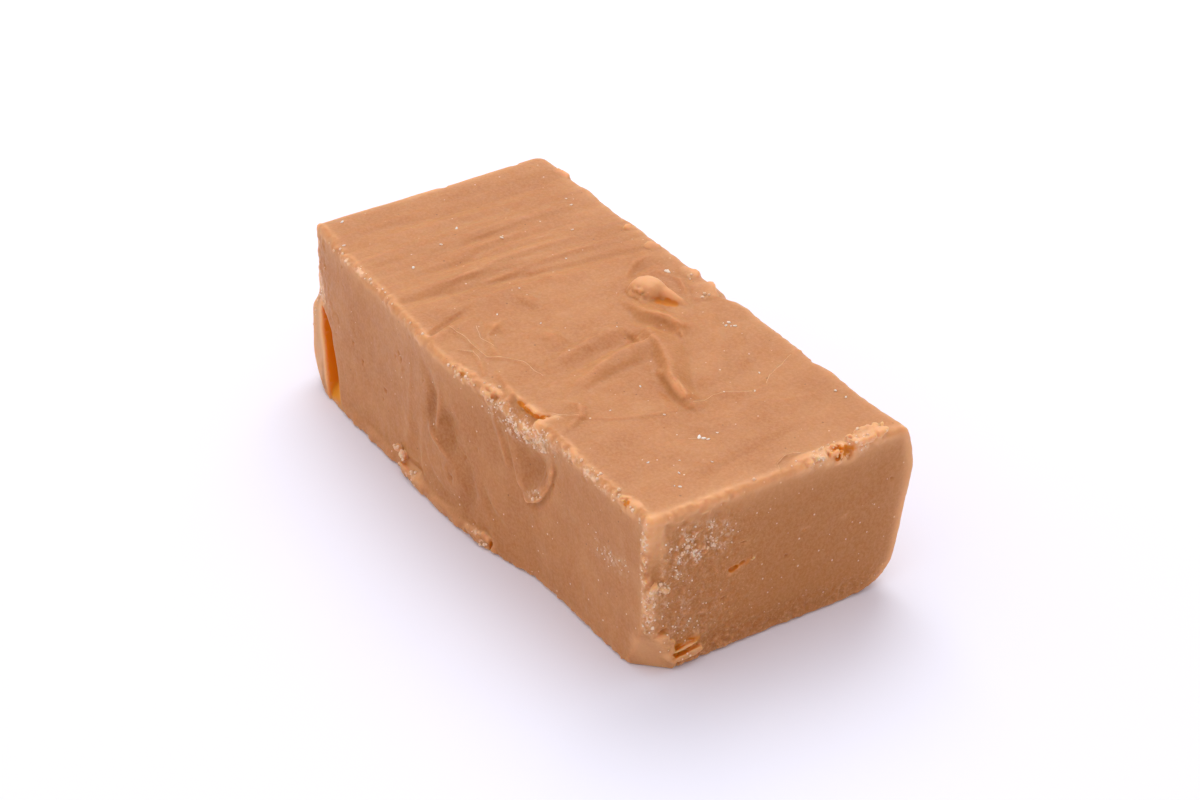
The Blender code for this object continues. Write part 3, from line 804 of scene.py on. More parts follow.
FOOT_PEBBLES = (
    ((-14.7, -22.0, 3.8), (0.6, 0.5, 0.45), (0.2, 0.1, 0.3), 45),
    ((-13.3, -22.05, 3.3), (0.75, 0.55, 0.55), (0.4, 0.5, 0.1), 50),
    ((-12.2, -22.3, 1.5), (1.5, 0.3, 0.55), (0.2, 0.35, 0.05), 53),
    ((-9.4, -22.35, 0.8), (1.7, 0.28, 0.5), (0.1, 0.15, 0.0), 61),
    ((6.4, -21.9, 1.2), (1.5, 0.42, 0.6), (0.15, 0.25, 0.05), 19),
    ((8.2, -21.6, 1.9), (0.9, 0.4, 0.55), (0.15, 0.4, 0.05), 24),
)
FOOT_GAPS = (
    ((-11.6, -22.4, 2.35), (1.9, 0.5, 0.22), (0.0, 0.33, 0.0), 25),
    ((9.35, -21.6, 1.2), (0.25, 0.7, 0.8), (0.0, 0.2, 0.0), 46),
    ((4.2, -22.3, 0.7), (0.3, 0.5, 0.5), (0.0, -0.4, 0.0), 21),
)
END_PITS = (
    ((44.35, -6.2, 12.5), (0.9, 0.95, 0.42), (0.1, 0.0, 0.0), 36),
    ((44.35, -5.0, 12.8), (0.75, 0.6, 0.34), (0.1, 0.0, 0.0), 44),
    ((44.3, -7.7, 8.2), (0.75, 0.5, 0.3), (0.1, 0.0, 0.0), 26),
    ((44.3, 1.8, 11.2), (0.55, 0.25, 0.28), (0.1, 0.0, 0.0), 12),
    ((44.3, -2.5, 11.6), (0.5, 0.28, 0.17), (0.1, 0.0, 0.0), 62),
    ((44.3, -13.8, 12.8), (0.5, 0.25, 0.22), (0.1, 0.0, 0.0), 62),
    ((44.3, -5.0, 16.0), (0.45, 0.4, 0.14), (0.1, 0.0, 0.0), 44),
    ((44.3, 4.6, 14.3), (0.5, 0.45, 0.16), (0.1, 0.0, 0.0), 32),
    ((44.3, 11.3, 14.0), (0.55, 0.6, 0.22), (0.1, 0.0, 0.0), 0),
    ((44.3, 18.5, 17.2), (0.45, 0.28, 0.2), (0.1, 0.0, 0.0), 50),
    ((44.2, -17.2, 6.75), (0.6, 0.85, 0.32), (0.1, 0.0, 0.0), 38),
    ((44.5, -14.0, 2.75), (0.8, 1.5, 0.15), (0.1, 0.0, 0.0), 60),
    ((44.5, -13.6, 4.1), (0.4, 1.4, 0.16), (0.1, 0.0, 0.0), 63),
    ((44.6, -11.2, 2.2), (0.4, 0.5, 0.3), (0.1, 0.0, 0.0), 1),
)
END_FLAKES = (
    ((44.3, -13.5, 3.35), (0.5, 1.7, 0.18), (0.12, 0.0, 0.1), 23),
    ((44.3, -13.2, 1.9), (0.55, 2.1, 0.5), (0.12, 0.0, 0.05), 13),
    ((44.35, -3.6, 13.1), (0.15, 0.4, 0.14), (0.5, 0.0, 0.0), 18),
    ((44.3, -18.6, 14.2), (0.35, 0.7, 0.4), (0.6, 0.0, 0.3), 26),
    ((44.2, -17.0, 13.4), (0.4, 0.8, 0.35), (-0.7, 0.0, 0.2), 20),
)


def model_curl(block):
    """The curl on top: a dome with a torn foot, and a tail that hangs over a hollow."""
    dome = lump(DOME, DOME_RADII, (0.1, -0.1, 0.3), 2.2, 0.05, 165)
    block.add(*around(DOME, 5.0), dome, 0.2)
    block.add((-4.5, 9.5, 21.5), (6.5, 18.0, 28.0), strand(TAIL, 0.95, 0.5), 0.5)
    hollow = lump(HOLLOW, HOLLOW_RADII, (0.1, 0.0, 0.62), 2.2, 0.06, 161)
    block.carve(*around(HOLLOW, 3.0), hollow, 0.1)
    shape_all(block.add, DOME_FOOT_FLAKES, 3.0, 0.15, 0.15, 1.6, growth=0.0)
    torn = oval((-1.6, 9.5, 25.15), (1.5, 0.8, 0.6))
    crumble(block, (-6.5, 7.0, 23.0), (2.0, 12.0, 27.5), torn, 0.34, 164, 0.42)


def model_far_rim(block):
    """Thin plates and chips along the far top edge."""
    shape_all(block.add, FAR_RIM_PLATES, 4.0, 0.05, 0.08, 1.2)
    shape_all(block.carve, FAR_RIM_CHIPS, 3.0, 0.15, 0.2, 0.8)


def crack_line(x):
    """Where the crack runs along the top edge of the cut side."""
    return -17.85 + 0.1 * np.maximum(x - 14.0, 0.0) ** 2


def model_rim_crack(block):
    """The crack along the top edge of the cut side, and the flake that slid down below it."""

    def slide(x, y, z):
        wall = y - crack_line(x) - 0.17 * layered(173, 0.7, x, z, layers=2, gain=0.8)
        wall = wall - 0.2 * noise(176, 1.9, x)
        level = 24.5 + ramp(x, 9.4, 12.8) * (0.6 * (y - crack_line(x)) - 0.85)
        above = (level + 0.09 * layered(171, 1.4, x, y, layers=2) - z) * 0.79
        ends = np.maximum(8.6 - x, x - 17.2 - 0.2 * (y + 17.4)) + 0.2 * layered(174, 0.9, y, z, layers=2)
        return np.maximum(np.maximum(above, wall), ends)

    block.carve((7.0, -23.5, 19.0), (23.0, -15.5, 27.0), slide, 0.05)
    random = np.random.default_rng(9)
    for x in np.arange(12.2, 17.4, 0.42):
        across = random.uniform(-0.15, 0.1)
        up = random.uniform(-0.3, 0.25)
        middle = np.array([x, crack_line(x) + across, 23.9 + up])
        radii = random.uniform(0.16, 0.32, 3)
        turn = random.uniform(0.0, 3.0, 3)
        block.add(*around(middle, 0.9), lump(middle, radii, turn, 3.0, 0.06, int(x * 9)), 0.04)
    shape_all(block.carve, SIDE_RIM_GAPS, 2.6, 0.14, 0.06, 0.8)


def model_end_flakes(block):
    """The torn cavity in the top edge of the cut end, and the flakes on both sides of it."""
    shape_all(block.add, END_RIM_PLATES, 4.0, 0.16, 0.08, 1.2)
    shape_all(block.carve, END_RIM_HOLES, 3.0, 0.26, 0.05, 0.6, growth=1.5)
    random = np.random.default_rng(14)
    for _ in range(16):
        middle = np.array([43.6, 10.2, 23.9]) + random.uniform(-1.0, 1.0, 3) * [0.7, 1.2, 0.9]
        radii = random.uniform(0.16, 0.4, 3)
        turn = random.uniform(0.0, 3.0, 3)
        block.add(*around(middle, 1.0), lump(middle, radii, turn, 3.0, 0.08, 188), 0.05)


def model_foot(block):
    """Crumbs and torn flaps along the foot of the cut side."""
    shape_all(block.add, FOOT_PEBBLES, 2.8, 0.08, 0.1, 1.0)
    shape_all(block.carve, FOOT_GAPS, 2.4, 0.08, 0.06, 0.8)


def model_end(block):
    """Pits in the cut end, and the split flakes beside the flap at its foot."""
    shape_all(block.carve, END_PITS, 2.4, 0.1, 0.05, 0.6)
    shape_all(block.add, END_FLAKES, 3.2, 0.08, 0.06, 0.8)


def model_break(block):
    """The rough face of the broken outer corner, and the grain of the lip's front."""

    def crumbly(x, y, z):
        near = 1.0 - ramp(np.abs(corner_break(x, y, z)), 0.3, 0.7)
        upper = ramp(z, 10.5, 13.0)
        return near * upper * 0.17 * layered(191, 0.8, x, y, z, layers=2, gain=0.7)

    block.roughen((-46.4, -22.0, 9.0), (-36.0, -15.0, 27.0), crumbly)


def model_edges(block):
    """Wear along every edge, most of all where the knife came out."""
    random = np.random.default_rng(20)
    wear_edge(block, random, side_edge, 22.0, 42.0, 1.3, 0.3, 0.1, 0.8)
    wear_edge(block, random, end_edge, 4.0, 19.0, 1.4, 0.26, 0.1, 0.75)
    wear_edge(block, random, corner_edge, 6.0, 23.0, 0.9, 0.3, 0.1, 0.7)
    wear_edge(block, random, foot_edge, 10.0, 42.0, 2.2, 0.2, 0.0, 0.5)


def rim_wear(along, worst, seed):
    """How much of an edge is worn off along it, in millimetres across the wear."""
    broken = ramp(along, worst[0] - 1.5, worst[0]) * (1.0 - ramp(along, worst[1], worst[1] + 1.5))
    wear = 0.12 + 0.1 * layered(seed, 3.5, along) + 0.08 * noise(seed + 5, 0.9, along)
    return np.maximum(wear + broken * (0.2 + 0.2 * noise(seed + 6, 1.2, along)), 0.02)


def crumble(block, low, high, away, strength, seed, size=0.7):
    """Makes the surface crumbly near an edge or a place.

    It is given as a function for how far off a place is, squared. The strength is a
    number, or a function of the place.
    """

    def amount(x, y, z):
        near = np.exp(-away(x, y, z))
        rough = layered(seed, size, x, y, z, layers=2, gain=0.6)
        how_much = strength(x, y, z) if callable(strength) else strength
        return near * how_much * (np.clip(rough, -0.9, 0.7) - 0.1)

    block.roughen(low, high, amount)


def crumble_edges(block):
    """The crumbly grain of the cut edges, patchy along each."""

    def side_rim(x, y, z):
        out = y + cut_side(x, np.float32(23.6))
        return (out**2 + (z - HEIGHT + 0.2) ** 2) / 1.1

    def along_side(x, y, z):
        patch = ramp(noise(401, 2.6, x), -0.5, 0.6)
        outer = ramp(x, -40.0, -36.0) - ramp(x, -12.0, -8.0)
        return 0.1 + 0.2 * patch * outer + ramp(x, 5.0, 8.0) * (0.1 + 0.24 * patch)

    crumble(block, (-45.0, -24.0, 22.0), (45.0, -16.5, 26.0), side_rim, along_side, 411)

    notch = oval((1.4, -20.6, 24.0), (2.4, 1.3, 1.2))
    crumble(block, (-3.0, -24.0, 21.0), (7.0, -17.0, 27.0), notch, 0.35, 421)
    patch = oval((7.6, -20.0, 23.2), (2.6, 1.5, 1.4))
    crumble(block, (3.0, -24.0, 20.0), (13.0, -16.0, 27.0), patch, 0.4, 431)

    def shelf(x, y, z):
        level = 21.6 + 0.1 * (x - 16.5)
        return ((x - 17.0) / 5.0) ** 4 + ((y + 20.2) / 1.3) ** 2 + ((z - level) / 1.2) ** 2

    crumble(block, (9.0, -24.0, 18.0), (24.0, -17.0, 25.5), shelf, 0.42, 441)

    def upright(x, y, z):
        side = 44.0 - 0.7 * ramp(z, 14.5, 17.0) + 0.4 * ramp(z, 20.5, 23.0) - x
        out = y + 19.45
        return (side**2 + out**2) / 0.7

    def along_corner(x, y, z):
        return 0.42 * ramp(z, 5.0, 8.0) * (1.0 - 0.5 * ramp(z, 20.5, 23.0))

    crumble(block, (41.5, -22.5, 1.0), (46.0, -16.0, 25.0), upright, along_corner, 451)

    def end_rim(x, y, z):
        return ((x - 44.0) ** 2 + (z - HEIGHT + 0.1) ** 2) / 0.8

    def along_end(x, y, z):
        flaky = hump(y, -11.5, 3.0) + hump(y, 5.5, 3.0) + hump(y, 14.5, 3.5)
        return 0.05 + 0.16 * np.minimum(flaky, 1.0)

    crumble(block, (41.0, -20.0, 22.0), (46.0, 20.0, 27.0), end_rim, along_end, 461)

    def foot(x, y, z):
        out = y + cut_side(x, np.float32(0.5))
        return (out**2 + (z - 0.2) ** 2) / 0.8

    crumble(block, (-40.0, -24.2, -0.8), (44.0, -17.0, 2.5), foot, 0.16, 471)


def build_block(cell):
    """The whole bar, with all that is modelled into it."""
    block = Block(cell)
    block.fill()
    model_split(block)
    model_curl(block)
    model_far_rim(block)
    model_rim_crack(block)
    model_end_flakes(block)
    model_foot(block)
    model_end(block)
    model_break(block)
    crumble_edges(block)
    model_edges(block)
    block.trim()
    return block


def largest_part(points, faces):
    """The points and faces of the largest connected part, without loose specks."""
    label = np.arange(len(points))
    pairs = np.concatenate([faces[:, [0, 1]], faces[:, [1, 2]], faces[:, [2, 3]]])
    while True:
        lowest = np.minimum(label[pairs[:, 0]], label[pairs[:, 1]])
        before = label.copy()
        np.minimum.at(label, pairs[:, 0], lowest)
        np.minimum.at(label, pairs[:, 1], lowest)
        label = label[label]
        if np.array_equal(before, label):
            break
    main_label = np.bincount(label).argmax()
    kept = label == main_label
    numbers = np.cumsum(kept) - 1
    return points[kept], numbers[faces[kept[faces[:, 0]]]]


def mesh_from(name, points, faces):
    """A mesh from arrays of points and faces."""
    mesh = bpy.data.meshes.new(name)
    mesh.vertices.add(len(points))
    mesh.vertices.foreach_set("co", np.ascontiguousarray(points, np.float32).ravel())
    mesh.loops.add(faces.size)
    mesh.loops.foreach_set("vertex_index", faces.astype(np.int32).ravel())
    mesh.polygons.add(len(faces))
    mesh.polygons.foreach_set("loop_start", np.arange(0, faces.size, faces.shape[1], dtype=np.int32))
    mesh.update(calc_edges=True)
    mesh.validate()
    return mesh


def plain_mesh(made, name):
    """The evaluated object as a plain mesh of its own, with no modifiers left."""
    view = bpy.context.evaluated_depsgraph_get()
    done = made.evaluated_get(view)
    mesh = bpy.data.meshes.new_from_object(done, preserve_all_data_layers=True, depsgraph=view)
    old = made.data
    made.modifiers.clear()
    made.data = mesh
    bpy.data.meshes.remove(old)
    mesh.name = name
    return mesh


def link(made):
    """Puts an object in the scene."""
    bpy.context.scene.collection.objects.link(made)
    return made


def store(mesh, name, values):
    """Stores a number on each point of a mesh, under a name that nodes can read."""
    attribute = mesh.attributes.new(name, "FLOAT", "POINT")
    attribute.data.foreach_set("value", np.ascontiguousarray(values, np.float32))


def read_points(mesh, field="co"):
    """The places of a mesh's points, or their normals."""
    flat = np.empty(len(mesh.vertices) * 3, np.float32)
    if field == "co":
        mesh.vertices.foreach_get("co", flat)
    else:
        mesh.vertex_normals.foreach_get("vector", flat)
    return flat.reshape(-1, 3).astype(float)


# --------------------------------------------------------------------------- finish

# Where sugar shows: (middle), (reach), share.
SUGAR_SPOTS = (
    ((44.2, -12.0, 18.6), (0.8, 4.6, 2.9), 1.0),
    ((44.2, -13.6, 15.8), (0.8, 2.4, 2.4), 0.9),
    ((44.2, -13.0, 9.0), (0.8, 5.0, 5.0), 0.2),
    ((44.2, -16.6, 13.6), (0.8, 1.4, 3.0), 0.8),
    ((43.4, -19.5, 17.5), (0.9, 0.5, 6.0), 1.0),
    ((44.0, -19.2, 10.0), (1.2, 0.9, 4.5), 0.7),
    ((15.5, -20.3, 22.6), (7.5, 1.6, 2.4), 1.0),
    ((30.0, -19.8, 23.9), (10.0, 1.0, 1.2), 0.55),
    ((18.4, -20.3, 14.0), (2.0, 0.8, 1.2), 0.7),
    ((-42.6, -18.0, 13.6), (1.5, 1.4, 1.2), 0.6),
    ((-31.0, -19.4, 24.2), (9.0, 0.7, 0.5), 0.35),
    ((43.8, 10.5, 24.2), (1.8, 6.0, 1.6), 0.45),
    ((34.5, -19.9, 14.0), (6.0, 0.7, 2.2), 0.5),
)


# The white flecks of sugar on top, as x, y and length.
FLECKS = (
    (-26.0, 2.2, 0.6), (-26.4, 2.6, 0.3), (-26.0, -12.3, 0.7), (-29.0, -6.0, 0.5), (-32.0, -1.7, 0.6),
    (-31.0, 16.2, 0.4), (-29.0, 15.8, 0.5), (-22.7, 12.0, 0.45), (-16.5, 7.0, 0.4), (-5.3, 16.6, 0.9),
    (-5.7, 16.9, 0.4), (-42.0, -14.8, 0.6), (10.5, 16.0, 0.7), (11.0, 15.2, 0.5), (12.0, 16.0, 0.6),
    (10.1, 15.4, 0.3), (11.6, 15.6, 0.35), (32.0, 18.0, 0.6), (34.0, 18.2, 0.5), (31.5, -3.3, 0.8),
    (32.1, -3.0, 0.7), (32.7, -2.7, 0.5), (36.8, -10.0, 0.4), (32.8, -12.0, 0.4), (-8.3, -9.3, 0.4),
    (17.3, -2.9, 0.4), (23.0, 12.2, 0.35), (24.9, -4.2, 0.4), (32.0, -0.8, 0.35), (37.3, -5.3, 0.35),
    (-3.5, -5.3, 0.3), (39.4, -11.6, 0.5), (38.9, -12.1, 0.3), (34.6, -8.4, 0.25), (-36.4, -17.6, 0.5),
    (-12.6, -3.1, 0.3), (3.3, 2.6, 0.25), (26.6, 8.9, 0.35), (24.6, 5.4, 0.3), (20.4, -9.6, 0.3),
)


# Fine threads on top, each as a path of (x, y).
THREADS = (
    ((24.9, 0.4), (25.0, 1.8), (24.4, 3.7), (24.6, 5.3), (25.4, 6.8), (26.5, 8.8)),
    ((25.8, 11.4), (24.4, 12.8), (23.4, 15.2), (21.9, 18.2)),
    ((31.0, -4.6), (31.8, -3.5), (32.6, -2.4)),
    ((41.7, 5.4), (41.2, 4.2), (41.2, 2.9), (42.0, 1.4), (43.2, 0.9)),
    ((-9.0, -16.6), (-4.0, -16.1), (0.4, -16.2), (2.2, -13.8), (4.0, -12.7), (8.4, -12.2)),
    ((-3.4, -18.4), (-1.8, -16.9), (0.8, -17.4)),
    ((-7.2, -13.2), (-4.6, -14.2), (-1.6, -13.9)),
    ((19.8, -14.0), (17.8, -15.6), (16.6, -16.2)),
)


# Where gaps in the surface get painted shade with an orange glow, in cracks, pits, hollows and the split:
# (middle), (reach), share. Gaps elsewhere get a little of it.
PAINTED_SHADE_SPOTS = (
    ((-38.5, -19.0, 6.5), (3.5, 3.5, 7.5), 1.0),
    ((1.6, 11.8, 24.6), (2.2, 1.0, 0.5), 0.8),
    ((-1.6, 9.3, 25.1), (1.4, 0.8, 0.6), 0.4),
    ((17.6, -19.9, 22.2), (3.0, 1.0, 0.7), 0.7),
    ((1.9, -20.6, 24.0), (1.2, 0.9, 0.9), 0.7),
    ((7.4, -19.7, 23.4), (2.4, 0.9, 0.6), 0.6),
    ((43.8, 10.2, 23.8), (1.6, 2.0, 1.4), 1.0),
    ((44.4, 13.4, 23.9), (0.8, 2.0, 0.5), 0.8),
    ((44.2, -6.0, 11.0), (1.0, 3.0, 4.0), 1.0),
    ((44.2, -14.5, 4.5), (1.5, 4.0, 3.5), 1.0),
    ((38.4, -19.0, 24.0), (0.6, 0.6, 0.7), 0.9),
    ((-11.5, -22.3, 2.2), (3.0, 1.0, 1.2), 0.4),
    ((9.2, -21.8, 1.3), (0.8, 1.0, 1.2), 0.5),
    ((21.2, -19.9, 16.5), (1.2, 1.2, 3.2), 0.7),
    ((-1.2, -21.0, 15.3), (2.0, 1.2, 2.0), 0.5),
)


# Where painted shade with an orange glow goes on places too open to get it from their gaps: the crack along
# the cut side's top edge, the notches along that edge, the curl's torn foot and the hollow under its tail.
OPEN_PAINTED_SHADE_SPOTS = (
    ((12.1, -17.95, 23.95), (1.0, 0.45, 0.35), 1.2),
    ((13.6, -17.9, 23.9), (1.1, 0.5, 0.4), 1.5),
    ((15.1, -17.75, 23.9), (1.0, 0.5, 0.4), 1.5),
    ((16.6, -17.2, 23.9), (1.0, 0.6, 0.4), 1.5),
    ((-1.5, 9.3, 25.15), (1.0, 0.5, 0.2), 0.4),
    ((0.8, 11.2, 24.6), (0.9, 0.8, 0.5), 0.9),
    ((1.6, 11.9, 24.6), (1.0, 0.8, 0.5), 1.2),
    ((2.4, 12.5, 24.5), (0.9, 0.7, 0.5), 0.9),
    ((1.5, -20.6, 23.9), (0.7, 0.35, 0.4), 0.7),
    ((7.4, -19.9, 23.75), (1.5, 0.35, 0.3), 0.5),
)


# Where the fudge is darker and wetter, partly as painted shade in the cut side's fold dents, the leaf's
# hollow and under the curl's tail, and where it is broken and pale.
MOIST_AND_SHADE_SPOTS = (
    ((-5.4, -21.5, 14.8), (2.2, 2.5, 4.6), 1.0),
    ((-1.4, -21.5, 13.8), (3.0, 2.5, 3.2), 0.9),
    ((3.8, -21.5, 6.0), (2.0, 2.5, 5.0), 0.6),
    ((-4.0, -21.5, 4.0), (5.0, 2.5, 1.6), 0.4),
    ((18.4, -19.6, 17.8), (3.0, 1.6, 2.6), 0.6),
    ((44.2, -3.0, 1.8), (1.5, 17.0, 2.6), 0.7),
    ((44.2, -13.0, 10.0), (1.5, 5.0, 6.0), 0.35),
    ((1.6, 10.9, 24.4), (2.6, 0.9, 0.6), 0.4),
)
PALE_SPOTS = (
    ((-43.0, -19.0, 9.0), (1.2, 2.0, 4.5), 0.35),
    ((-31.0, -19.3, 24.2), (12.0, 0.7, 0.6), 0.9),
    ((-12.0, -20.6, 24.2), (9.0, 0.6, 0.5), 0.5),
    ((2.0, -21.0, 24.0), (3.0, 1.2, 1.0), 0.7),
    ((7.0, -19.6, 23.4), (3.0, 1.5, 1.2), 0.6),
    ((17.5, -20.2, 21.9), (5.0, 1.4, 1.5), 0.9),
    ((31.0, -19.5, 24.0), (11.0, 1.0, 0.9), 0.8),
    ((19.2, -20.6, 14.1), (1.3, 1.2, 0.9), 0.9),
    ((43.4, -19.6, 18.5), (0.9, 0.45, 5.5), 0.9),
    ((44.0, -19.3, 9.8), (0.9, 0.6, 3.4), 0.6),
    ((44.0, -18.6, 14.0), (0.8, 1.6, 0.8), 0.8),
    ((44.0, -17.8, 12.6), (1.2, 1.6, 2.2), 0.5),
    ((44.4, -12.5, 18.0), (1.0, 3.8, 3.0), 0.4),
    ((-2.8, 18.4, 24.7), (1.4, 0.7, 0.5), 0.5),
    ((3.1, 16.4, 24.7), (1.2, 1.0, 0.5), 0.5),
    ((43.8, 8.0, 25.0), (1.5, 12.0, 0.8), 0.6),
    ((44.2, -13.4, 2.6), (1.2, 2.4, 1.6), 0.5),
    ((-14.0, -22.4, 3.6), (1.7, 0.7, 1.0), 1.8),
    ((-11.4, -22.2, 1.4), (2.4, 0.8, 0.8), 0.8),
    ((7.0, -21.9, 1.5), (2.0, 0.8, 0.9), 1.1),
)


def spot_share(spots, points):
    """How far each point is inside the nearest of some soft-edged oval spots."""
    share = np.zeros(len(points))
    for middle, reach, amount in spots:
        away = (((points - middle) / reach) ** 2).sum(axis=1)
        share = np.maximum(share, amount * np.exp(-(away**2)))
    return share


def sugar_share(points):
    """How much sugar grain there is at each point."""
    share = spot_share(SUGAR_SPOTS, points)
    patchy = layered(211, 1.0, *points.T, layers=3, gain=0.8)
    return np.clip(share * ramp(patchy, -0.35, 0.55), 0.0, 1.0)


# What each point of the bar's mesh carries for the finish to read. Deep, split, thin and glow carry painted
# shade, glow and highlights; the crest and crease marks carry a painted highlight and painted shade; the
# moist mark is partly painted shade.
MARKS = (
    "deep", "split", "thin", "glow", "moist_and_shade", "loose", "pale", "cut", "sugar", "crest", "crease_shade", "coarse"
)


def painted_light(x, y, z):
    """How much painted light each point gets: painted glow near the edges, where light gets through the
    fudge, and on the lip's front, and painted highlights on the top of the curl's dome, the pressed strip by
    the near corner and the facet at its foot.
    """
    below = np.maximum(HEIGHT - z, 0.0)
    side = np.maximum(y + cut_side(x, z), 0.0)
    end = np.maximum(LENGTH / 2 + 0.2 - x, 0.0)
    far = np.maximum(WIDTH / 2 + 0.6 - y, 0.0)
    outer = np.maximum(x + LENGTH / 2 + 0.6, 0.0)
    glow = 0.95 * np.exp(-below / 2.0 - end / 1.2)
    glow = np.maximum(glow, 0.7 * np.exp(-below / 1.3 - side / 0.9))
    glow = np.maximum(glow, 0.6 * np.exp(-side / 1.2 - end / 1.2))
    strip = 0.9 * ramp(z, 14.5, 21.0) * (1.0 - ramp(y, -17.6, -16.0)) * ramp(x, 42.0, 43.0)
    glow = np.maximum(glow, strip)
    dome = np.exp(-((((x + 2.8) / 2.4) ** 2 + ((y - 11.6) / 2.1) ** 2) ** 2))
    glow = np.maximum(glow, 0.9 * dome * ramp(z, 24.9, 25.8))
    lip = ramp(-39.0 - x, 0.0, 1.5) * (1.0 - ramp(y, -17.5, -16.0)) * (1.0 - ramp(z, 11.5, 13.5))
    glow = np.maximum(glow, 0.6 * lip)
    low_corner = ramp(x, 39.5, 42.0) * (1.0 - ramp(y, -16.5, -14.8)) * (1.0 - ramp(z, 5.0, 7.0))
    glow = np.maximum(glow, 0.5 * low_corner)
    glow = np.maximum(glow, 0.6 * np.exp(-below / 0.9 - np.minimum(far, outer) / 1.0))
    return np.maximum(glow, 0.5 * np.exp(-far / 1.5 - end / 1.2))


def stand_out(mesh, points, normals, rounds):
    """How far each point stands out of the smoothed surface around it, in millimetres."""
    ends = np.empty(len(mesh.edges) * 2, np.int32)
    mesh.edges.foreach_get("vertices", ends)
    first, second = ends.reshape(-1, 2).T
    size = len(points)
    count = np.bincount(first, minlength=size) + np.bincount(second, minlength=size)
    smooth = points.copy()
    for _ in range(rounds):
        for axis in range(3):
            values = smooth[:, axis]
            total = np.bincount(first, values[second], size) + np.bincount(second, values[first], size)
            smooth[:, axis] = 0.4 * values + 0.6 * total / np.maximum(count, 1)
    return ((points - smooth) * normals).sum(axis=1)


def split_share(x, y, z):
    """Where the split behind the lip gets painted glow and shade: how deep inside it each point is, and how
    near its mouth.
    """
    inside, edge = split_walls(z)
    between = (x > inside - 0.35) * (x < edge + 0.3) * ramp(y + cut_side(x, z), 0.05, 0.7)
    lip = 0.34 * ramp(x - inside, -2.4, 0.0) * (x < inside + 0.6)
    side = 0.3 * (1.0 - ramp(x - edge, 0.0, 1.0)) * (x > edge - 0.6)
    mouth = np.maximum(lip, side) * (1.0 - ramp(z, SPLIT_HIGH - 3.5, SPLIT_HIGH - 0.5))
    return np.maximum(between, mouth) * (y < -16.0) * (z > 0.05) * (z < SPLIT_HIGH + 0.2)


# How far out of the surface, and into the bar, it is sampled for gaps, which get painted shade, and for thin
# places, which get painted glow, and how many rounds of smoothing its crests and creases, which get a
# painted highlight and painted shade, are measured from.
OPEN_REACHES = (0.5, 1.0)
THICK_REACHES = (-0.8, -1.6, -2.3)
SMOOTHING_ROUNDS = 10


def clear_share(block, points, normals, reaches):
    """How clear of fudge it is along the normals, or inwards, how full of fudge."""
    share = np.zeros(len(points))
    for reach in reaches:
        share += np.clip(block.sample(points + normals * reach) / reach, 0.0, 1.0) / len(reaches)
    return share


def broken_share(x, y, z):
    """Where the face of the broken outer corner is."""
    near = 1.0 - ramp(np.abs(corner_break(x, y, z)), 0.35, 0.6)
    broken = near * ramp(z, 11.5, 13.5) * (x < -36.0)
    return broken * ramp(y + cut_side(x, z) - 0.05 * np.maximum(z - 14.0, 0.0), 0.0, 0.4)


def coarse_share(x, y, z):
    """Where the cut end is coarse: towards the near corner, and along its foot."""
    low_end = ramp(y, -20.0, -17.0) * (1.0 - ramp(y, -9.0, 2.0)) + 0.8 * (1.0 - ramp(z, 2.5, 5.5))
    return np.clip(0.15 + low_end, 0.0, 1.0) * ramp(x, 43.0, 43.8) * ramp(HEIGHT - z, 2.0, 4.0)


def finish_marks(mesh, block, points):
    """Stores on the mesh what the finish reads at each point: painted shade and glow in its gaps, the split,
    thin places and near edges, painted highlights on crests and painted shade in creases, darker wet places
    that carry some painted shade, and how pale, coarse and sugary it is.
    """
    normals = read_points(mesh, "normal")
    x, y, z = points.T
    gap = clear_share(block, points, normals, OPEN_REACHES)
    body = clear_share(block, points, normals, THICK_REACHES)
    # Painted shade with an orange glow where the surface is closed over by fudge, most at the listed spots,
    # and at the open spots.
    deep = np.clip(1.0 - gap, 0.0, 1.0) * (0.08 + 0.92 * spot_share(PAINTED_SHADE_SPOTS, points))
    deep = np.maximum(deep, 0.6 * spot_share(OPEN_PAINTED_SHADE_SPOTS, points))
    covered = 1.0 - np.clip(deep * 2.0, 0.0, 1.0)
    # Painted glow and shade in the split behind the lip.
    split = split_share(x, y, z)
    patchy = ramp(layered(221, 0.9, *points.T, layers=2, gain=0.7), -0.3, 0.4)
    loose = spot_share(PALE_SPOTS, points) * patchy * covered
    out = stand_out(mesh, points, normals, SMOOTHING_ROUNDS)
    marks = {
        "split": split,
        "deep": deep * (1.0 - split),
        # Painted glow where the fudge is thin.
        "thin": np.clip(1.0 - body, 0.0, 1.0) * (0.3 + 0.7 * ramp(z, 0.5, 3.0)),
        "glow": painted_light(x, y, z),
        "moist_and_shade": spot_share(MOIST_AND_SHADE_SPOTS, points),
        "loose": loose,
        "pale": np.maximum(loose, 0.6 * broken_share(x, y, z)),
        # Painted highlight on what stands out of the smoothed surface, and painted shade in what sinks into
        # it.
        "crest": ramp(out, 0.02, 0.2),
        "crease_shade": ramp(-out, 0.015, 0.16),
        "coarse": coarse_share(x, y, z),
        "cut": ramp(x, 42.8, 43.8) * ramp(HEIGHT - z, 0.6, 3.5),
        "sugar": sugar_share(points) * covered,
    }
    for name in MARKS:
        store(mesh, name, marks[name])


def placed(points):
    """Points of the forms' frame, in metres from the bar's own origin."""
    return (points - ORIGIN) * MM


def stretch(points, sizes):
    """Stretches the bar from its base to the sizes that the user asks for."""
    wanted = np.array([sizes.length, sizes.width, sizes.height])
    return points * (wanted / np.array(CAD_SIZE))


# --------------------------------------------------------------------------- materials

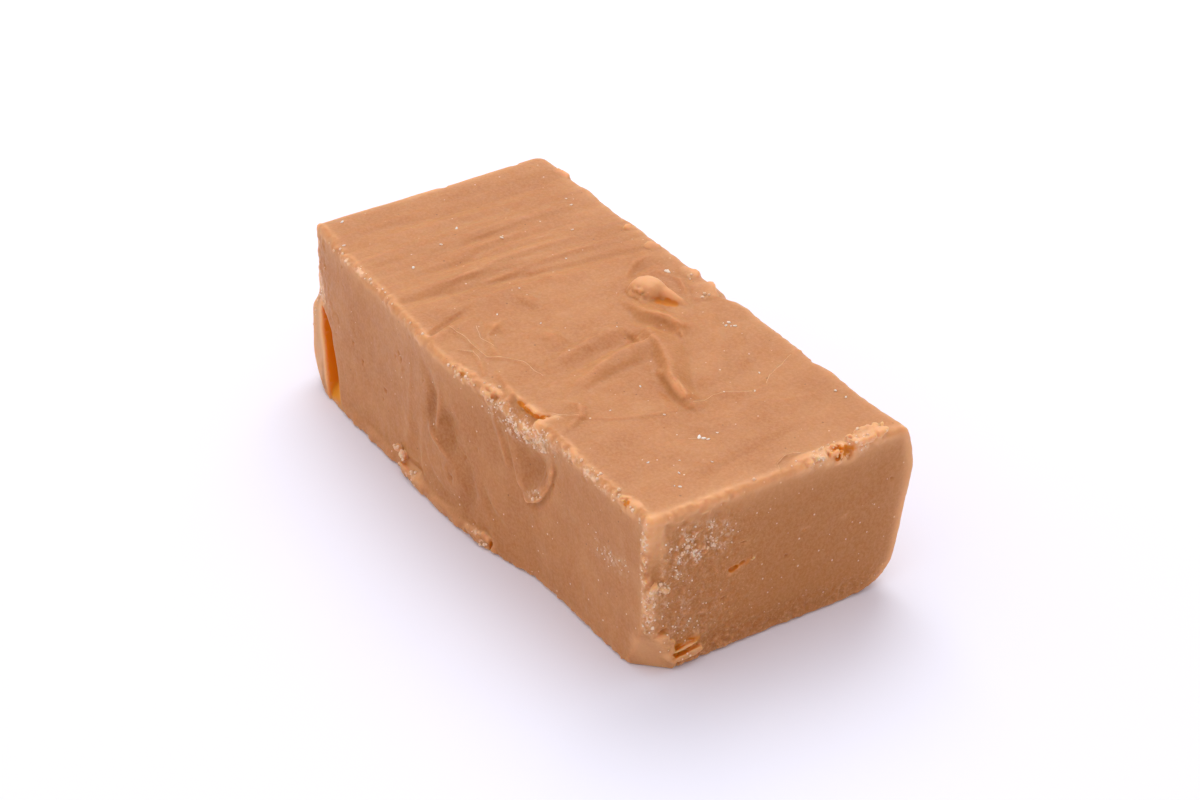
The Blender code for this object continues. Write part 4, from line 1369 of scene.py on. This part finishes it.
# How far light goes into the fudge, in metres, and its share of red, green and blue.
LIGHT_DEPTH = 0.0012
LIGHT_REACH = (1.0, 0.5, 0.25)
BUMP_DISTANCE = 0.001

# How the smears are drawn out along the bar, and how soft the edge of a speck is.
SMEAR_SCALE = (0.32, 0.1, 0.3)
SPECK_EDGE = 0.06


class Wiring:
    """A tree of nodes, written as short calls."""

    def __init__(self, tree):
        self.nodes = tree.nodes
        self.links = tree.links

    def node(self, kind, settings=None, **inputs):
        """A new node. An input is given by its name, or as i and its number."""
        made = self.nodes.new(kind)
        for name, value in (settings or {}).items():
            setattr(made, name, value)
        for name, value in inputs.items():
            key = int(name[1:]) if name[1:].isdigit() else name.replace("_", " ")
            self.feed(made.inputs[key], value)
        return made

    def feed(self, socket, value):
        """Links another node's output to a socket, or sets the socket's own value."""
        if isinstance(value, bpy.types.NodeSocket):
            self.links.new(value, socket)
        else:
            socket.default_value = value


class Shading(Wiring):
    """A material's nodes."""

    def __init__(self, name):
        self.material = bpy.data.materials.new(name)
        self.material.use_nodes = True
        super().__init__(self.material.node_tree)
        self.shader = self.nodes["Principled BSDF"]

    def shade(self, **inputs):
        """Feeds the shader's own inputs."""
        for name, value in inputs.items():
            self.feed(self.shader.inputs[name.replace("_", " ")], value)

    def bump(self, height, strength):
        """Fine relief by a height, in the light alone."""
        made = self.node("ShaderNodeBump", None, Strength=strength, Distance=BUMP_DISTANCE, Height=height)
        self.shade(Normal=made.outputs[0])

    def place(self):
        """The place on the piece, in millimetres."""
        coordinates = self.node("ShaderNodeTexCoord")
        mapped = self.node("ShaderNodeMapping", Vector=coordinates.outputs["Object"])
        mapped.inputs["Scale"].default_value = (1.0 / MM,) * 3
        return mapped.outputs["Vector"]

    def math(self, operation, a, b=0.0, clamp=False):
        """One step of arithmetic."""
        made = self.node("ShaderNodeMath", {"operation": operation, "use_clamp": clamp}, i0=a, i1=b)
        return made.outputs[0]

    def times(self, a, b):
        """One value times another."""
        return self.math("MULTIPLY", a, b)

    def plus(self, a, b, clamp=False):
        """One value plus another."""
        return self.math("ADD", a, b, clamp)

    def noise(self, place, scale, detail=2.0, roughness=0.5):
        """Noise from 0 to 1, its lumps one over the scale in size."""
        look = {"Scale": scale, "Detail": detail, "Roughness": roughness}
        return self.node("ShaderNodeTexNoise", None, Vector=place, **look).outputs["Fac"]

    def between(self, value, low, high, start=0.0, end=1.0):
        """A smooth step from start to end, as the value goes from low to high."""
        made = self.node("ShaderNodeMapRange", {"interpolation_type": "SMOOTHSTEP"}, Value=value)
        for name, number in (("From Min", low), ("From Max", high), ("To Min", start), ("To Max", end)):
            self.feed(made.inputs[name], number)
        return made.outputs[0]

    def mix(self, share, first, second):
        """The first colour, with a share of the second over it."""
        made = self.node("ShaderNodeMix", {"data_type": "RGBA"}, i0=share, i6=first, i7=second)
        return made.outputs[2]

    def paint(self, colour, share, other):
        """Another colour over a share of this one."""
        return self.mix(share, colour, rgba(other))

    def mark(self, name, strength=None):
        """What the points of the mesh carry under a name, from 0 to 1 or to the strength."""
        value = self.node("ShaderNodeAttribute", {"attribute_name": name}).outputs["Fac"]
        return value if strength is None else self.times(value, strength)

    def specks(self, place, scale, size, share, offset):
        """Round specks of a size, in a share of the cells of a lattice."""
        moved = self.node("ShaderNodeVectorMath", {"operation": "ADD"}, i0=place, i1=(offset,) * 3)
        cells = self.node("ShaderNodeTexVoronoi", None, Vector=moved.outputs[0], Scale=scale)
        chosen = self.node("ShaderNodeSeparateColor", None, Color=cells.outputs["Color"])
        here = self.math("LESS_THAN", chosen.outputs[0], share)
        grown = self.times(chosen.outputs[1], size)
        out = self.math("SUBTRACT", cells.outputs["Distance"], grown)
        return self.times(here, self.between(out, 0.0, SPECK_EDGE, 1.0, 0.0))


def rgba(colour):
    """A colour with its alpha."""
    return (*colour[:3], 1.0)


def body_colour(make, place, grain, colours):
    """The fudge's colour: soft patches, smears, the cut end, darker wet places that also carry painted shade
    in dents and hollows, and specks.
    """
    tone = make.between(make.noise(place, 0.11, 3.0), 0.35, 0.65)
    colour = make.mix(tone, rgba(colours.fudge), rgba(colours.fudge_dark))
    drawn = make.node("ShaderNodeMapping", None, Vector=place, Scale=SMEAR_SCALE)
    smears = make.noise(drawn.outputs["Vector"], 1.0, 2.0, 0.5)
    colour = make.paint(colour, make.between(smears, 0.4, 0.75, 0.0, 0.16), colours.crumb)
    colour = make.paint(colour, make.mark("cut"), colours.cut)
    # Darker wet patches, partly painted shade in the fold dents and hollows.
    colour = make.paint(colour, make.mark("moist_and_shade", 0.8), colours.moist_and_shade)
    colour = make.paint(colour, make.between(grain, 0.3, 0.75, 0.0, 0.3), colours.crumb)
    light = make.specks(place, 0.9, 0.1, 0.3, 3.7)
    colour = make.paint(colour, make.times(light, 0.55), colours.sugar)
    dark = make.specks(place, 0.8, 0.1, 0.2, 11.3)
    return make.paint(colour, make.times(dark, 0.6), colours.skin)


def mottle_and_painted_light(make, place, colour, colours):
    """Mottling on the cut end, painted shade in creases and painted highlights on crests, and painted glow
    where the fudge is thin, with painted glow and highlights near its edges and on the dome, the pressed
    strip and the facet.
    """
    coarse = make.mark("coarse")
    mottle = make.between(make.noise(place, 2.3, 4.0, 0.75), 0.5, 0.66, 0.0, 0.55)
    colour = make.paint(colour, make.times(coarse, mottle), colours.crumb)
    golden = make.between(make.noise(place, 0.9, 4.0, 0.7), 0.5, 0.7, 0.0, 0.4)
    colour = make.paint(colour, make.times(coarse, golden), colours.golden)
    # Painted shade in creases, and a painted highlight on crests.
    colour = make.paint(colour, make.mark("crease_shade", 0.5), colours.golden)
    colour = make.paint(colour, make.mark("crest", 0.5), colours.edge)
    # Painted glow where the fudge is thin and near its edges, and painted highlights on the curl's dome, the
    # pressed strip and the facet.
    colour = make.paint(colour, make.between(make.mark("thin"), 0.06, 0.6, 0.0, 0.8), colours.edge)
    return make.paint(colour, make.mark("glow", 0.9), colours.edge)


def torn_colour_and_painted_shade(make, place, colour, colours):
    """Pale crumb, painted shade and glow in cracks, hollows and the split behind the lip, and the sugar
    crust.
    """
    pale = make.times(make.mark("pale"), make.noise(place, 1.6, 3.0, 0.7))
    colour = make.paint(colour, make.between(pale, 0.12, 0.5), colours.pale)
    # Painted shade and glow in cracks and hollows.
    colour = make.paint(colour, make.between(make.mark("deep"), 0.12, 0.55), colours.deep)
    # Painted glow and shade in the split behind the lip.
    colour = make.paint(colour, make.between(make.mark("split"), 0.1, 0.9), colours.split_glow_and_shade)
    patches = make.between(make.noise(place, 1.9, 3.0, 0.7), 0.42, 0.58)
    crust = make.times(make.mark("sugar"), patches)
    return make.paint(colour, make.times(crust, 0.7), colours.sugar)


def fudge_material(colours):
    """The finish of the bar: soft, faintly waxy, and lit a little way in."""
    make = Shading("fudge")
    place = make.place()
    grain = make.noise(place, 2.4, 3.0, 0.65)
    colour = body_colour(make, place, grain, colours)
    colour = mottle_and_painted_light(make, place, colour, colours)
    colour = torn_colour_and_painted_shade(make, place, colour, colours)
    rough = make.between(make.noise(place, 0.7, 3.0), 0.3, 0.7, 0.42, 0.56)
    rough = make.plus(rough, make.mark("sugar", 0.25), clamp=True)
    torn = make.plus(make.mark("cut", 0.05), make.mark("pale", 0.12))
    relief = make.times(grain, make.plus(torn, 0.05))
    relief = make.plus(relief, make.times(make.noise(place, 0.9, 3.0), 0.09))
    make.shade(Base_Color=colour, Roughness=rough, Specular_IOR_Level=0.26, IOR=1.46)
    make.shade(Subsurface_Weight=1.0, Subsurface_Scale=LIGHT_DEPTH, Subsurface_Radius=LIGHT_REACH)
    make.bump(relief, 0.55)
    return make.material


def grain_material(name, colour, other, roughness):
    """The finish of loose grains, in two tones."""
    make = Shading(name)
    place = make.place()
    tone = make.between(make.noise(place, 1.4, 2.0), 0.35, 0.65)
    make.shade(Base_Color=make.mix(tone, rgba(colour), rgba(other)), Roughness=roughness)
    make.shade(Specular_IOR_Level=0.3)
    make.bump(make.noise(place, 5.0, 2.0), 0.4)
    return make.material


def floor_material(colour):
    """The finish of the floor, in two tones that are nearly the same."""
    make = Shading("floor")
    tone = make.between(make.noise(make.place(), 0.01, 2.0), 0.3, 0.7)
    paler = tuple(min(1.0, value * 1.01) for value in colour[:3])
    make.shade(Base_Color=make.mix(tone, rgba(colour), rgba(paler)), Roughness=0.6)
    return make.material


# --------------------------------------------------------------------------- grains

# The flecks' shape, how far they may tilt, and how far above the top their middles are, as a
# share of their size.
FLECK_SHAPE = (1.0, 0.6, 0.4)
FLECK_TILT = 0.25
FLECK_LIFT = 0.05
FLECK_COLOUR = (1.0, 0.93, 0.86)
FLECK_SEED = 5

# The threads: thickness and sides, the step along one, and how far it wavers from side to
# side and sinks in, in millimetres.
THREAD_RADIUS = 0.00004
THREAD_SIDES = 6
THREAD_STEP = 0.25
THREAD_WAVER = 0.14
THREAD_SINK = 0.02

# How thickly grains and crumbs lie, to the square metre, and the seeds they are sown by.
GRAINS_PER_SQUARE_METRE = 5.0e6
CRUMBS_PER_SQUARE_METRE = 2.8e6
GRAIN_SEED = 3
CRUMB_SEED = 8


class Strewing(Wiring):
    """Geometry nodes that take a mesh and named inputs, and give small things with a finish."""

    def __init__(self, name, **inputs):
        self.tree = bpy.data.node_groups.new(name, "GeometryNodeTree")
        super().__init__(self.tree)
        self.socket("Geometry", "Geometry", "INPUT")
        for label, kind in inputs.items():
            self.socket(label.replace("_", " "), kind, "INPUT")
        self.socket("Finish", "Material", "INPUT")
        self.socket("Geometry", "Geometry", "OUTPUT")
        self.given = self.node("NodeGroupInput").outputs
        self.result = self.node("NodeGroupOutput").inputs

    def socket(self, label, kind, way):
        """One input or output of the tree."""
        self.tree.interface.new_socket(label, in_out=way, socket_type="NodeSocket" + kind)

    def mark(self, name):
        """What the points of the mesh carry under a name."""
        made = self.node("GeometryNodeInputNamedAttribute", {"data_type": "FLOAT"}, Name=name)
        return made.outputs["Attribute"]

    def crystal(self, corners):
        """One small uneven crystal."""
        shape = self.node("GeometryNodeMeshIcoSphere", None, Radius=1.0, Subdivisions=corners)
        uneven = self.node("ShaderNodeTexNoise", None, Scale=1.3).outputs["Color"]
        off = self.node("ShaderNodeVectorMath", {"operation": "SUBTRACT"}, i0=uneven, i1=(0.5,) * 3)
        mesh = shape.outputs["Mesh"]
        lumpy = self.node("GeometryNodeSetPosition", None, Geometry=mesh, Offset=off.outputs[0])
        return lumpy.outputs["Geometry"]

    def turns(self, least, most):
        """A random turn for each point."""
        made = self.node("FunctionNodeRandomValue", {"data_type": "FLOAT_VECTOR"}, Min=least, Max=most)
        self.feed(made.inputs["Seed"], self.given["Seed"])
        return made.outputs["Value"]

    def end(self, mesh):
        """Makes instances real, gives them the finish, and ends the tree."""
        real = self.node("GeometryNodeRealizeInstances", None, Geometry=mesh)
        done = self.node("GeometryNodeSetMaterial", None, Geometry=real.outputs["Geometry"])
        self.feed(done.inputs["Material"], self.given["Finish"])
        self.feed(self.result["Geometry"], done.outputs["Geometry"])
        return self.tree


def fleck_tree(name):
    """Nodes that set one small flat crystal on each point, by the size the point carries."""
    make = Strewing(name, Seed="Int")
    spots = make.node("GeometryNodeMeshToPoints", None, Mesh=make.given["Geometry"])
    turn = make.turns((-FLECK_TILT, -FLECK_TILT, 0.0), (FLECK_TILT, FLECK_TILT, math.tau))
    size = make.node("ShaderNodeVectorMath", {"operation": "SCALE"}, i0=FLECK_SHAPE, Scale=make.mark("size"))
    put = make.node(
        "GeometryNodeInstanceOnPoints",
        None,
        Points=spots.outputs["Points"],
        Instance=make.crystal(2),
        Rotation=turn,
        Scale=size.outputs[0],
    )
    return make.end(put.outputs["Instances"])


def thread_tree(name):
    """Nodes that turn chains of edges into thin round threads."""
    make = Strewing(name, Radius="Float")
    chain = make.node("GeometryNodeMeshToCurve", None, Mesh=make.given["Geometry"])
    ring = make.node("GeometryNodeCurvePrimitiveCircle", None, Resolution=THREAD_SIDES)
    make.feed(ring.inputs["Radius"], make.given["Radius"])
    tube = make.node("GeometryNodeCurveToMesh", None, Curve=chain.outputs["Curve"], Fill_Caps=True)
    make.feed(tube.inputs["Profile Curve"], ring.outputs["Curve"])
    return make.end(tube.outputs["Mesh"])


def grain_tree(name, mark):
    """Nodes that strew small crystals over a surface where a mark on it asks for them."""
    make = Strewing(name, Grains_per_square_metre="Float", Smallest="Float", Largest="Float", Seed="Int")
    amount = make.node("ShaderNodeMath", {"operation": "MULTIPLY"}, i0=make.mark(mark))
    make.feed(amount.inputs[1], make.given["Grains per square metre"])
    strew = make.node(
        "GeometryNodeDistributePointsOnFaces",
        None,
        Mesh=make.given["Geometry"],
        Density=amount.outputs[0],
        Seed=make.given["Seed"],
    )
    size = make.node(
        "FunctionNodeRandomValue",
        {"data_type": "FLOAT"},
        i2=make.given["Smallest"],
        i3=make.given["Largest"],
        Seed=make.given["Seed"],
    )
    put = make.node(
        "GeometryNodeInstanceOnPoints",
        None,
        Points=strew.outputs["Points"],
        Instance=make.crystal(1),
        Rotation=make.turns((0.0, 0.0, 0.0), (math.tau,) * 3),
        Scale=size.outputs[1],
    )
    return make.end(put.outputs["Instances"])


def strewn(name, mesh, tree, settings):
    """A piece of small things set over a mesh by a tree of nodes."""
    made = link(bpy.data.objects.new(name, mesh))
    modifier = made.modifiers.new("grains", "NODES")
    modifier.node_group = tree
    for item in tree.interface.items_tree:
        if item.in_out == "INPUT" and item.name in settings:
            modifier[item.identifier] = settings[item.name]
    mesh = plain_mesh(made, name)
    points = np.clip(read_points(mesh), CAD_LOW, CAD_HIGH)
    mesh.vertices.foreach_set("co", points.astype(np.float32).ravel())
    for attribute in (*MARKS, "size"):
        if attribute in mesh.attributes:
            mesh.attributes.remove(mesh.attributes[attribute])
    return made


def strewn_on_bar(name, mark, density, radii, seed, finish):
    """Small things over the bar, where the mark that its points carry asks for them."""
    settings = {
        "Grains per square metre": density,
        "Smallest": radii[0],
        "Largest": radii[1],
        "Seed": seed,
        "Finish": finish,
    }
    bar = bpy.data.objects["fudge_slab"]
    return strewn(name, bar.data.copy(), grain_tree(name, mark), settings)


# --------------------------------------------------------------------------- add-on


class FudgeSizes(bpy.types.PropertyGroup):
    """The sizes that the user can change"""

    length: bpy.props.FloatProperty(
        name="Length",
        description="Length of the bar over its bulges",
        default=CAD_SIZE.x,
        min=0.02,
        unit="LENGTH",
    )
    width: bpy.props.FloatProperty(
        name="Width",
        description="Width of the bar over its bulges",
        default=CAD_SIZE.y,
        min=0.01,
        unit="LENGTH",
    )
    height: bpy.props.FloatProperty(
        name="Height",
        description="Height of the bar to the top of the curl",
        default=CAD_SIZE.z,
        min=0.01,
        unit="LENGTH",
    )
    grain_smallest: bpy.props.FloatProperty(
        name="Smallest Grain",
        description="Radius of the smallest sugar grain",
        default=0.00005,
        unit="LENGTH",
    )
    grain_largest: bpy.props.FloatProperty(
        name="Largest Grain",
        description="Radius of the largest sugar grain",
        default=0.00015,
        unit="LENGTH",
    )
    crumb_smallest: bpy.props.FloatProperty(
        name="Smallest Crumb",
        description="Radius of the smallest crumb",
        default=0.00007,
        unit="LENGTH",
    )
    crumb_largest: bpy.props.FloatProperty(
        name="Largest Crumb",
        description="Radius of the largest crumb",
        default=0.0003,
        unit="LENGTH",
    )


def colour_property(label, about, value):
    """A colour that the user can change."""
    return bpy.props.FloatVectorProperty(
        name=label, description=about, subtype="COLOR", size=3, min=0.0, max=1.0, default=value
    )


class FudgeColours(bpy.types.PropertyGroup):
    """The colours that the user can change"""

    fudge: colour_property("Fudge", "Main colour of the fudge", (0.51, 0.2, 0.063))
    fudge_dark: colour_property("Darker Fudge", "Colour of its darker patches", (0.47, 0.176, 0.052))
    cut: colour_property("Cut End", "Colour of the freshly cut end", (0.46, 0.172, 0.044))
    # Darker wet fudge, which also carries painted shade in the cut side's fold dents, the leaf's hollow and
    # under the curl's tail.
    moist_and_shade: colour_property("Moist Fudge", "Colour where it is darker and wetter", (0.38, 0.125, 0.026))
    pale: colour_property("Broken Fudge", "Colour where it is broken and dry", (0.9, 0.57, 0.34))
    crumb: colour_property("Crumb", "Colour of its fine crumb", (0.72, 0.38, 0.17))
    crumbs: colour_property("Loose Crumbs", "Colour of the loose crumbs", (1.0, 0.72, 0.52))
    # Painted glow on thin places and near the edges, painted highlights on crests, the curl's dome, the
    # pressed strip and the facet; also the second tone of the threads.
    edge: colour_property("Edge", "Colour of thin edges and flakes", (0.82, 0.43, 0.2))
    # Painted shade with an orange glow in cracks, pits and hollows.
    deep: colour_property("Deep", "Colour in cracks and hollows", (0.64, 0.2, 0.012))
    # Painted glow and shade in the split behind the lip.
    split_glow_and_shade: colour_property("Behind the Lip", "Colour in the split behind the lip", (0.76, 0.27, 0.012))
    # Painted shade in creases, and also a real golden mottle on the coarse cut end.
    golden: colour_property("Golden Fudge", "Colour where light comes through folds", (0.5, 0.165, 0.03))
    skin: colour_property("Skin", "Colour of specks of peanut skin", (0.2, 0.075, 0.03))
    sugar: colour_property("Sugar", "Colour of the sugar grains", (1.0, 0.82, 0.65))
    floor: colour_property("Floor", "Colour of the floor", (0.88, 0.88, 0.97))


class FUDGE_OT_bar(bpy.types.Operator):
    """Build the bar of fudge, with its curl, cracks, flakes and lip"""

    bl_idname = "fudge.bar"
    bl_label = "Bar"

    def execute(self, context):
        scene = context.scene
        block = build_block(CELL)
        points, faces = largest_part(*block.surface())
        made = link(bpy.data.objects.new("fudge_slab", mesh_from("fudge_slab", points, faces)))
        thin = made.modifiers.new("fewer faces", "DECIMATE")
        thin.ratio = min(1.0, SLAB_FACES / (2.0 * len(faces)))
        mesh = plain_mesh(made, "fudge_slab")
        points = read_points(mesh)
        finish_marks(mesh, block, points)
        points[:, 2] = np.maximum(points[:, 2], 0.0)
        placed_points = stretch(placed(points), scene.fudge_sizes)
        mesh.vertices.foreach_set("co", placed_points.astype(np.float32).ravel())
        mesh.shade_smooth()
        mesh.update()
        mesh.materials.clear()
        mesh.materials.append(fudge_material(scene.fudge_colours))
        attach(made, "root")
        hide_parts("fudge_bar")
        return {"FINISHED"}


class FUDGE_OT_grains(bpy.types.Operator):
    """Strew sugar grains over the broken edges and the crust"""

    bl_idname = "fudge.grains"
    bl_label = "Sugar Grains"

    def execute(self, context):
        colours, sizes = context.scene.fudge_colours, context.scene.fudge_sizes
        finish = grain_material("sugar", colours.sugar, colours.crumbs, 0.5)
        radii = sizes.grain_smallest, sizes.grain_largest
        made = strewn_on_bar("sugar_grains", "sugar", GRAINS_PER_SQUARE_METRE, radii, GRAIN_SEED, finish)
        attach(made, "root")
        return {"FINISHED"}


class FUDGE_OT_crumbs(bpy.types.Operator):
    """Strew crumbs of fudge along the edges that broke"""

    bl_idname = "fudge.crumbs"
    bl_label = "Crumbs"

    def execute(self, context):
        colours, sizes = context.scene.fudge_colours, context.scene.fudge_sizes
        finish = grain_material("crumbs", colours.crumbs, colours.pale, 0.6)
        radii = sizes.crumb_smallest, sizes.crumb_largest
        made = strewn_on_bar("fudge_crumbs", "loose", CRUMBS_PER_SQUARE_METRE, radii, CRUMB_SEED, finish)
        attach(made, "root")
        return {"FINISHED"}


class FUDGE_OT_threads(bpy.types.Operator):
    """Draw the fine pale threads that the spatula left on top"""

    bl_idname = "fudge.threads"
    bl_label = "Threads"

    def execute(self, context):
        colours, sizes = context.scene.fudge_colours, context.scene.fudge_sizes
        points, edges = [], []
        for path in THREADS:
            corners = np.array(path, np.float32)
            along = np.concatenate([[0.0], np.cumsum(np.hypot(*np.diff(corners, axis=0).T))])
            steps = np.arange(0.0, along[-1], THREAD_STEP)
            x, y = (np.interp(steps, along, corners[:, column]).astype(np.float32) for column in (0, 1))
            x, y = x + THREAD_WAVER * noise(501, 1.3, x, y), y + THREAD_WAVER * noise(502, 1.3, x, y)
            first = len(points)
            points += np.stack([x, y, top_height(x, y) - THREAD_SINK], 1).tolist()
            edges += [(number, number + 1) for number in range(first, len(points) - 1)]
        mesh = bpy.data.meshes.new("pale_threads")
        mesh.from_pydata(stretch(placed(np.array(points)), sizes).tolist(), edges, [])
        finish = grain_material("threads", colours.pale, colours.edge, 0.6)
        settings = {"Radius": THREAD_RADIUS, "Finish": finish}
        made = strewn("pale_threads", mesh, thread_tree("threads"), settings)
        made.data.shade_smooth()
        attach(made, "root")
        return {"FINISHED"}


class FUDGE_OT_flecks(bpy.types.Operator):
    """Set the white flecks of sugar on top"""

    bl_idname = "fudge.flecks"
    bl_label = "Sugar Flecks"

    def execute(self, context):
        colours, sizes = context.scene.fudge_colours, context.scene.fudge_sizes
        x, y, size = (np.array(column, np.float32) for column in zip(*FLECKS))
        points = np.stack([x, y, top_height(x, y) + FLECK_LIFT * size], 1)
        mesh = bpy.data.meshes.new("sugar_flecks")
        mesh.from_pydata(stretch(placed(points), sizes).tolist(), [], [])
        store(mesh, "size", size * 0.5 * MM)
        finish = grain_material("flecks", FLECK_COLOUR, colours.sugar, 0.5)
        settings = {"Seed": FLECK_SEED, "Finish": finish}
        made = strewn("sugar_flecks", mesh, fleck_tree("flecks"), settings)
        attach(made, "root")
        return {"FINISHED"}


# The stage, in metres: the floor, the light of the room, and each lamp's name, place,
# size and power.
FLOOR_REACH = 3.0
ROOM_COLOUR = (0.99, 0.97, 1.03, 1.0)
ROOM_STRENGTH = 0.65
LIGHTS = (
    ("back", (-0.55, 0.4, 0.8), 0.75, 5.0),
    ("overhead", (0.1, -0.1, 1.1), 1.2, 3.0),
    ("left", (-0.45, -0.85, 0.45), 0.9, 0.95),
)

# The camera: its lens in millimetres, its place in metres, and the direction that it looks
# from, in degrees.
CAMERA_LENS = 90.0
CAMERA_SENSOR = 36.0
CAMERA_NEAREST = 0.01
CAMERA_PLACE = (0.293763, -0.187709, 0.234654)
CAMERA_TURN = 57.095
CAMERA_RISE = 32.582


class FUDGE_OT_stage(bpy.types.Operator):
    """Set up the floor, the soft light and the camera"""

    bl_idname = "fudge.stage"
    bl_label = "Stage"

    def execute(self, context):
        scene = context.scene
        mesh = bpy.data.meshes.new("floor")
        corners = [(x * FLOOR_REACH, y * FLOOR_REACH, 0.0) for x, y in ((-1, -1), (1, -1), (1, 1), (-1, 1))]
        mesh.from_pydata(corners, [], [(0, 1, 2, 3)])
        mesh.materials.append(floor_material(scene.fudge_colours.floor))
        link(bpy.data.objects.new("floor", mesh))
        world = bpy.data.worlds.new("studio")
        world.use_nodes = True
        background = world.node_tree.nodes["Background"]
        background.inputs["Color"].default_value = ROOM_COLOUR
        background.inputs["Strength"].default_value = ROOM_STRENGTH
        scene.world = world
        for name, place, size, power in LIGHTS:
            light = bpy.data.lights.new(name, "AREA")
            light.size = size
            light.energy = power
            lamp = link(bpy.data.objects.new(name, light))
            lamp.location = place
            lamp.rotation_euler = (-Vector(place)).to_track_quat("-Z", "Y").to_euler()
        camera = bpy.data.cameras.new("camera")
        camera.lens = CAMERA_LENS
        camera.sensor_width = CAMERA_SENSOR
        camera.clip_start = CAMERA_NEAREST
        seen = link(bpy.data.objects.new("camera", camera))
        seen.location = CAMERA_PLACE
        turn, rise = math.radians(CAMERA_TURN), math.radians(CAMERA_RISE)
        level = math.cos(rise)
        back = Vector((math.sin(turn) * level, -math.cos(turn) * level, math.sin(rise)))
        seen.rotation_euler = (-back).to_track_quat("-Z", "Y").to_euler()
        scene.camera = seen
        scene.view_settings.view_transform = "Standard"
        return {"FINISHED"}


class FUDGE_PT_panel(bpy.types.Panel):
    """The sizes, the colours and a button for each operator"""

    bl_label = "Peanut Butter Fudge"
    bl_idname = "FUDGE_PT_panel"
    bl_space_type = "VIEW_3D"
    bl_region_type = "UI"
    bl_category = "Fudge"

    def draw(self, context):
        for group in (context.scene.fudge_sizes, context.scene.fudge_colours):
            box = self.layout.box()
            for name in group.__annotations__:
                box.prop(group, name)
        for operator in OPERATORS:
            self.layout.operator(operator.bl_idname)


GROUPS = {"fudge_sizes": FudgeSizes, "fudge_colours": FudgeColours}
OPERATORS = (
    FUDGE_OT_bar,
    FUDGE_OT_grains,
    FUDGE_OT_crumbs,
    FUDGE_OT_flecks,
    FUDGE_OT_threads,
    FUDGE_OT_stage,
)


def register():
    """Adds the settings, the operators and the panel."""
    for kind in (*GROUPS.values(), *OPERATORS, FUDGE_PT_panel):
        bpy.utils.register_class(kind)
    for name, group in GROUPS.items():
        setattr(bpy.types.Scene, name, bpy.props.PointerProperty(type=group))


def unregister():
    """Takes them all out again."""
    for name in GROUPS:
        delattr(bpy.types.Scene, name)
    for kind in (FUDGE_PT_panel, *reversed(OPERATORS), *GROUPS.values()):
        bpy.utils.unregister_class(kind)


def main():
    """Builds the whole scene."""
    register()
    bpy.ops.fudge.bar()
    bpy.ops.fudge.grains()
    bpy.ops.fudge.crumbs()
    bpy.ops.fudge.flecks()
    bpy.ops.fudge.threads()
    bpy.ops.fudge.stage()


if __name__ == "__main__":
    main()
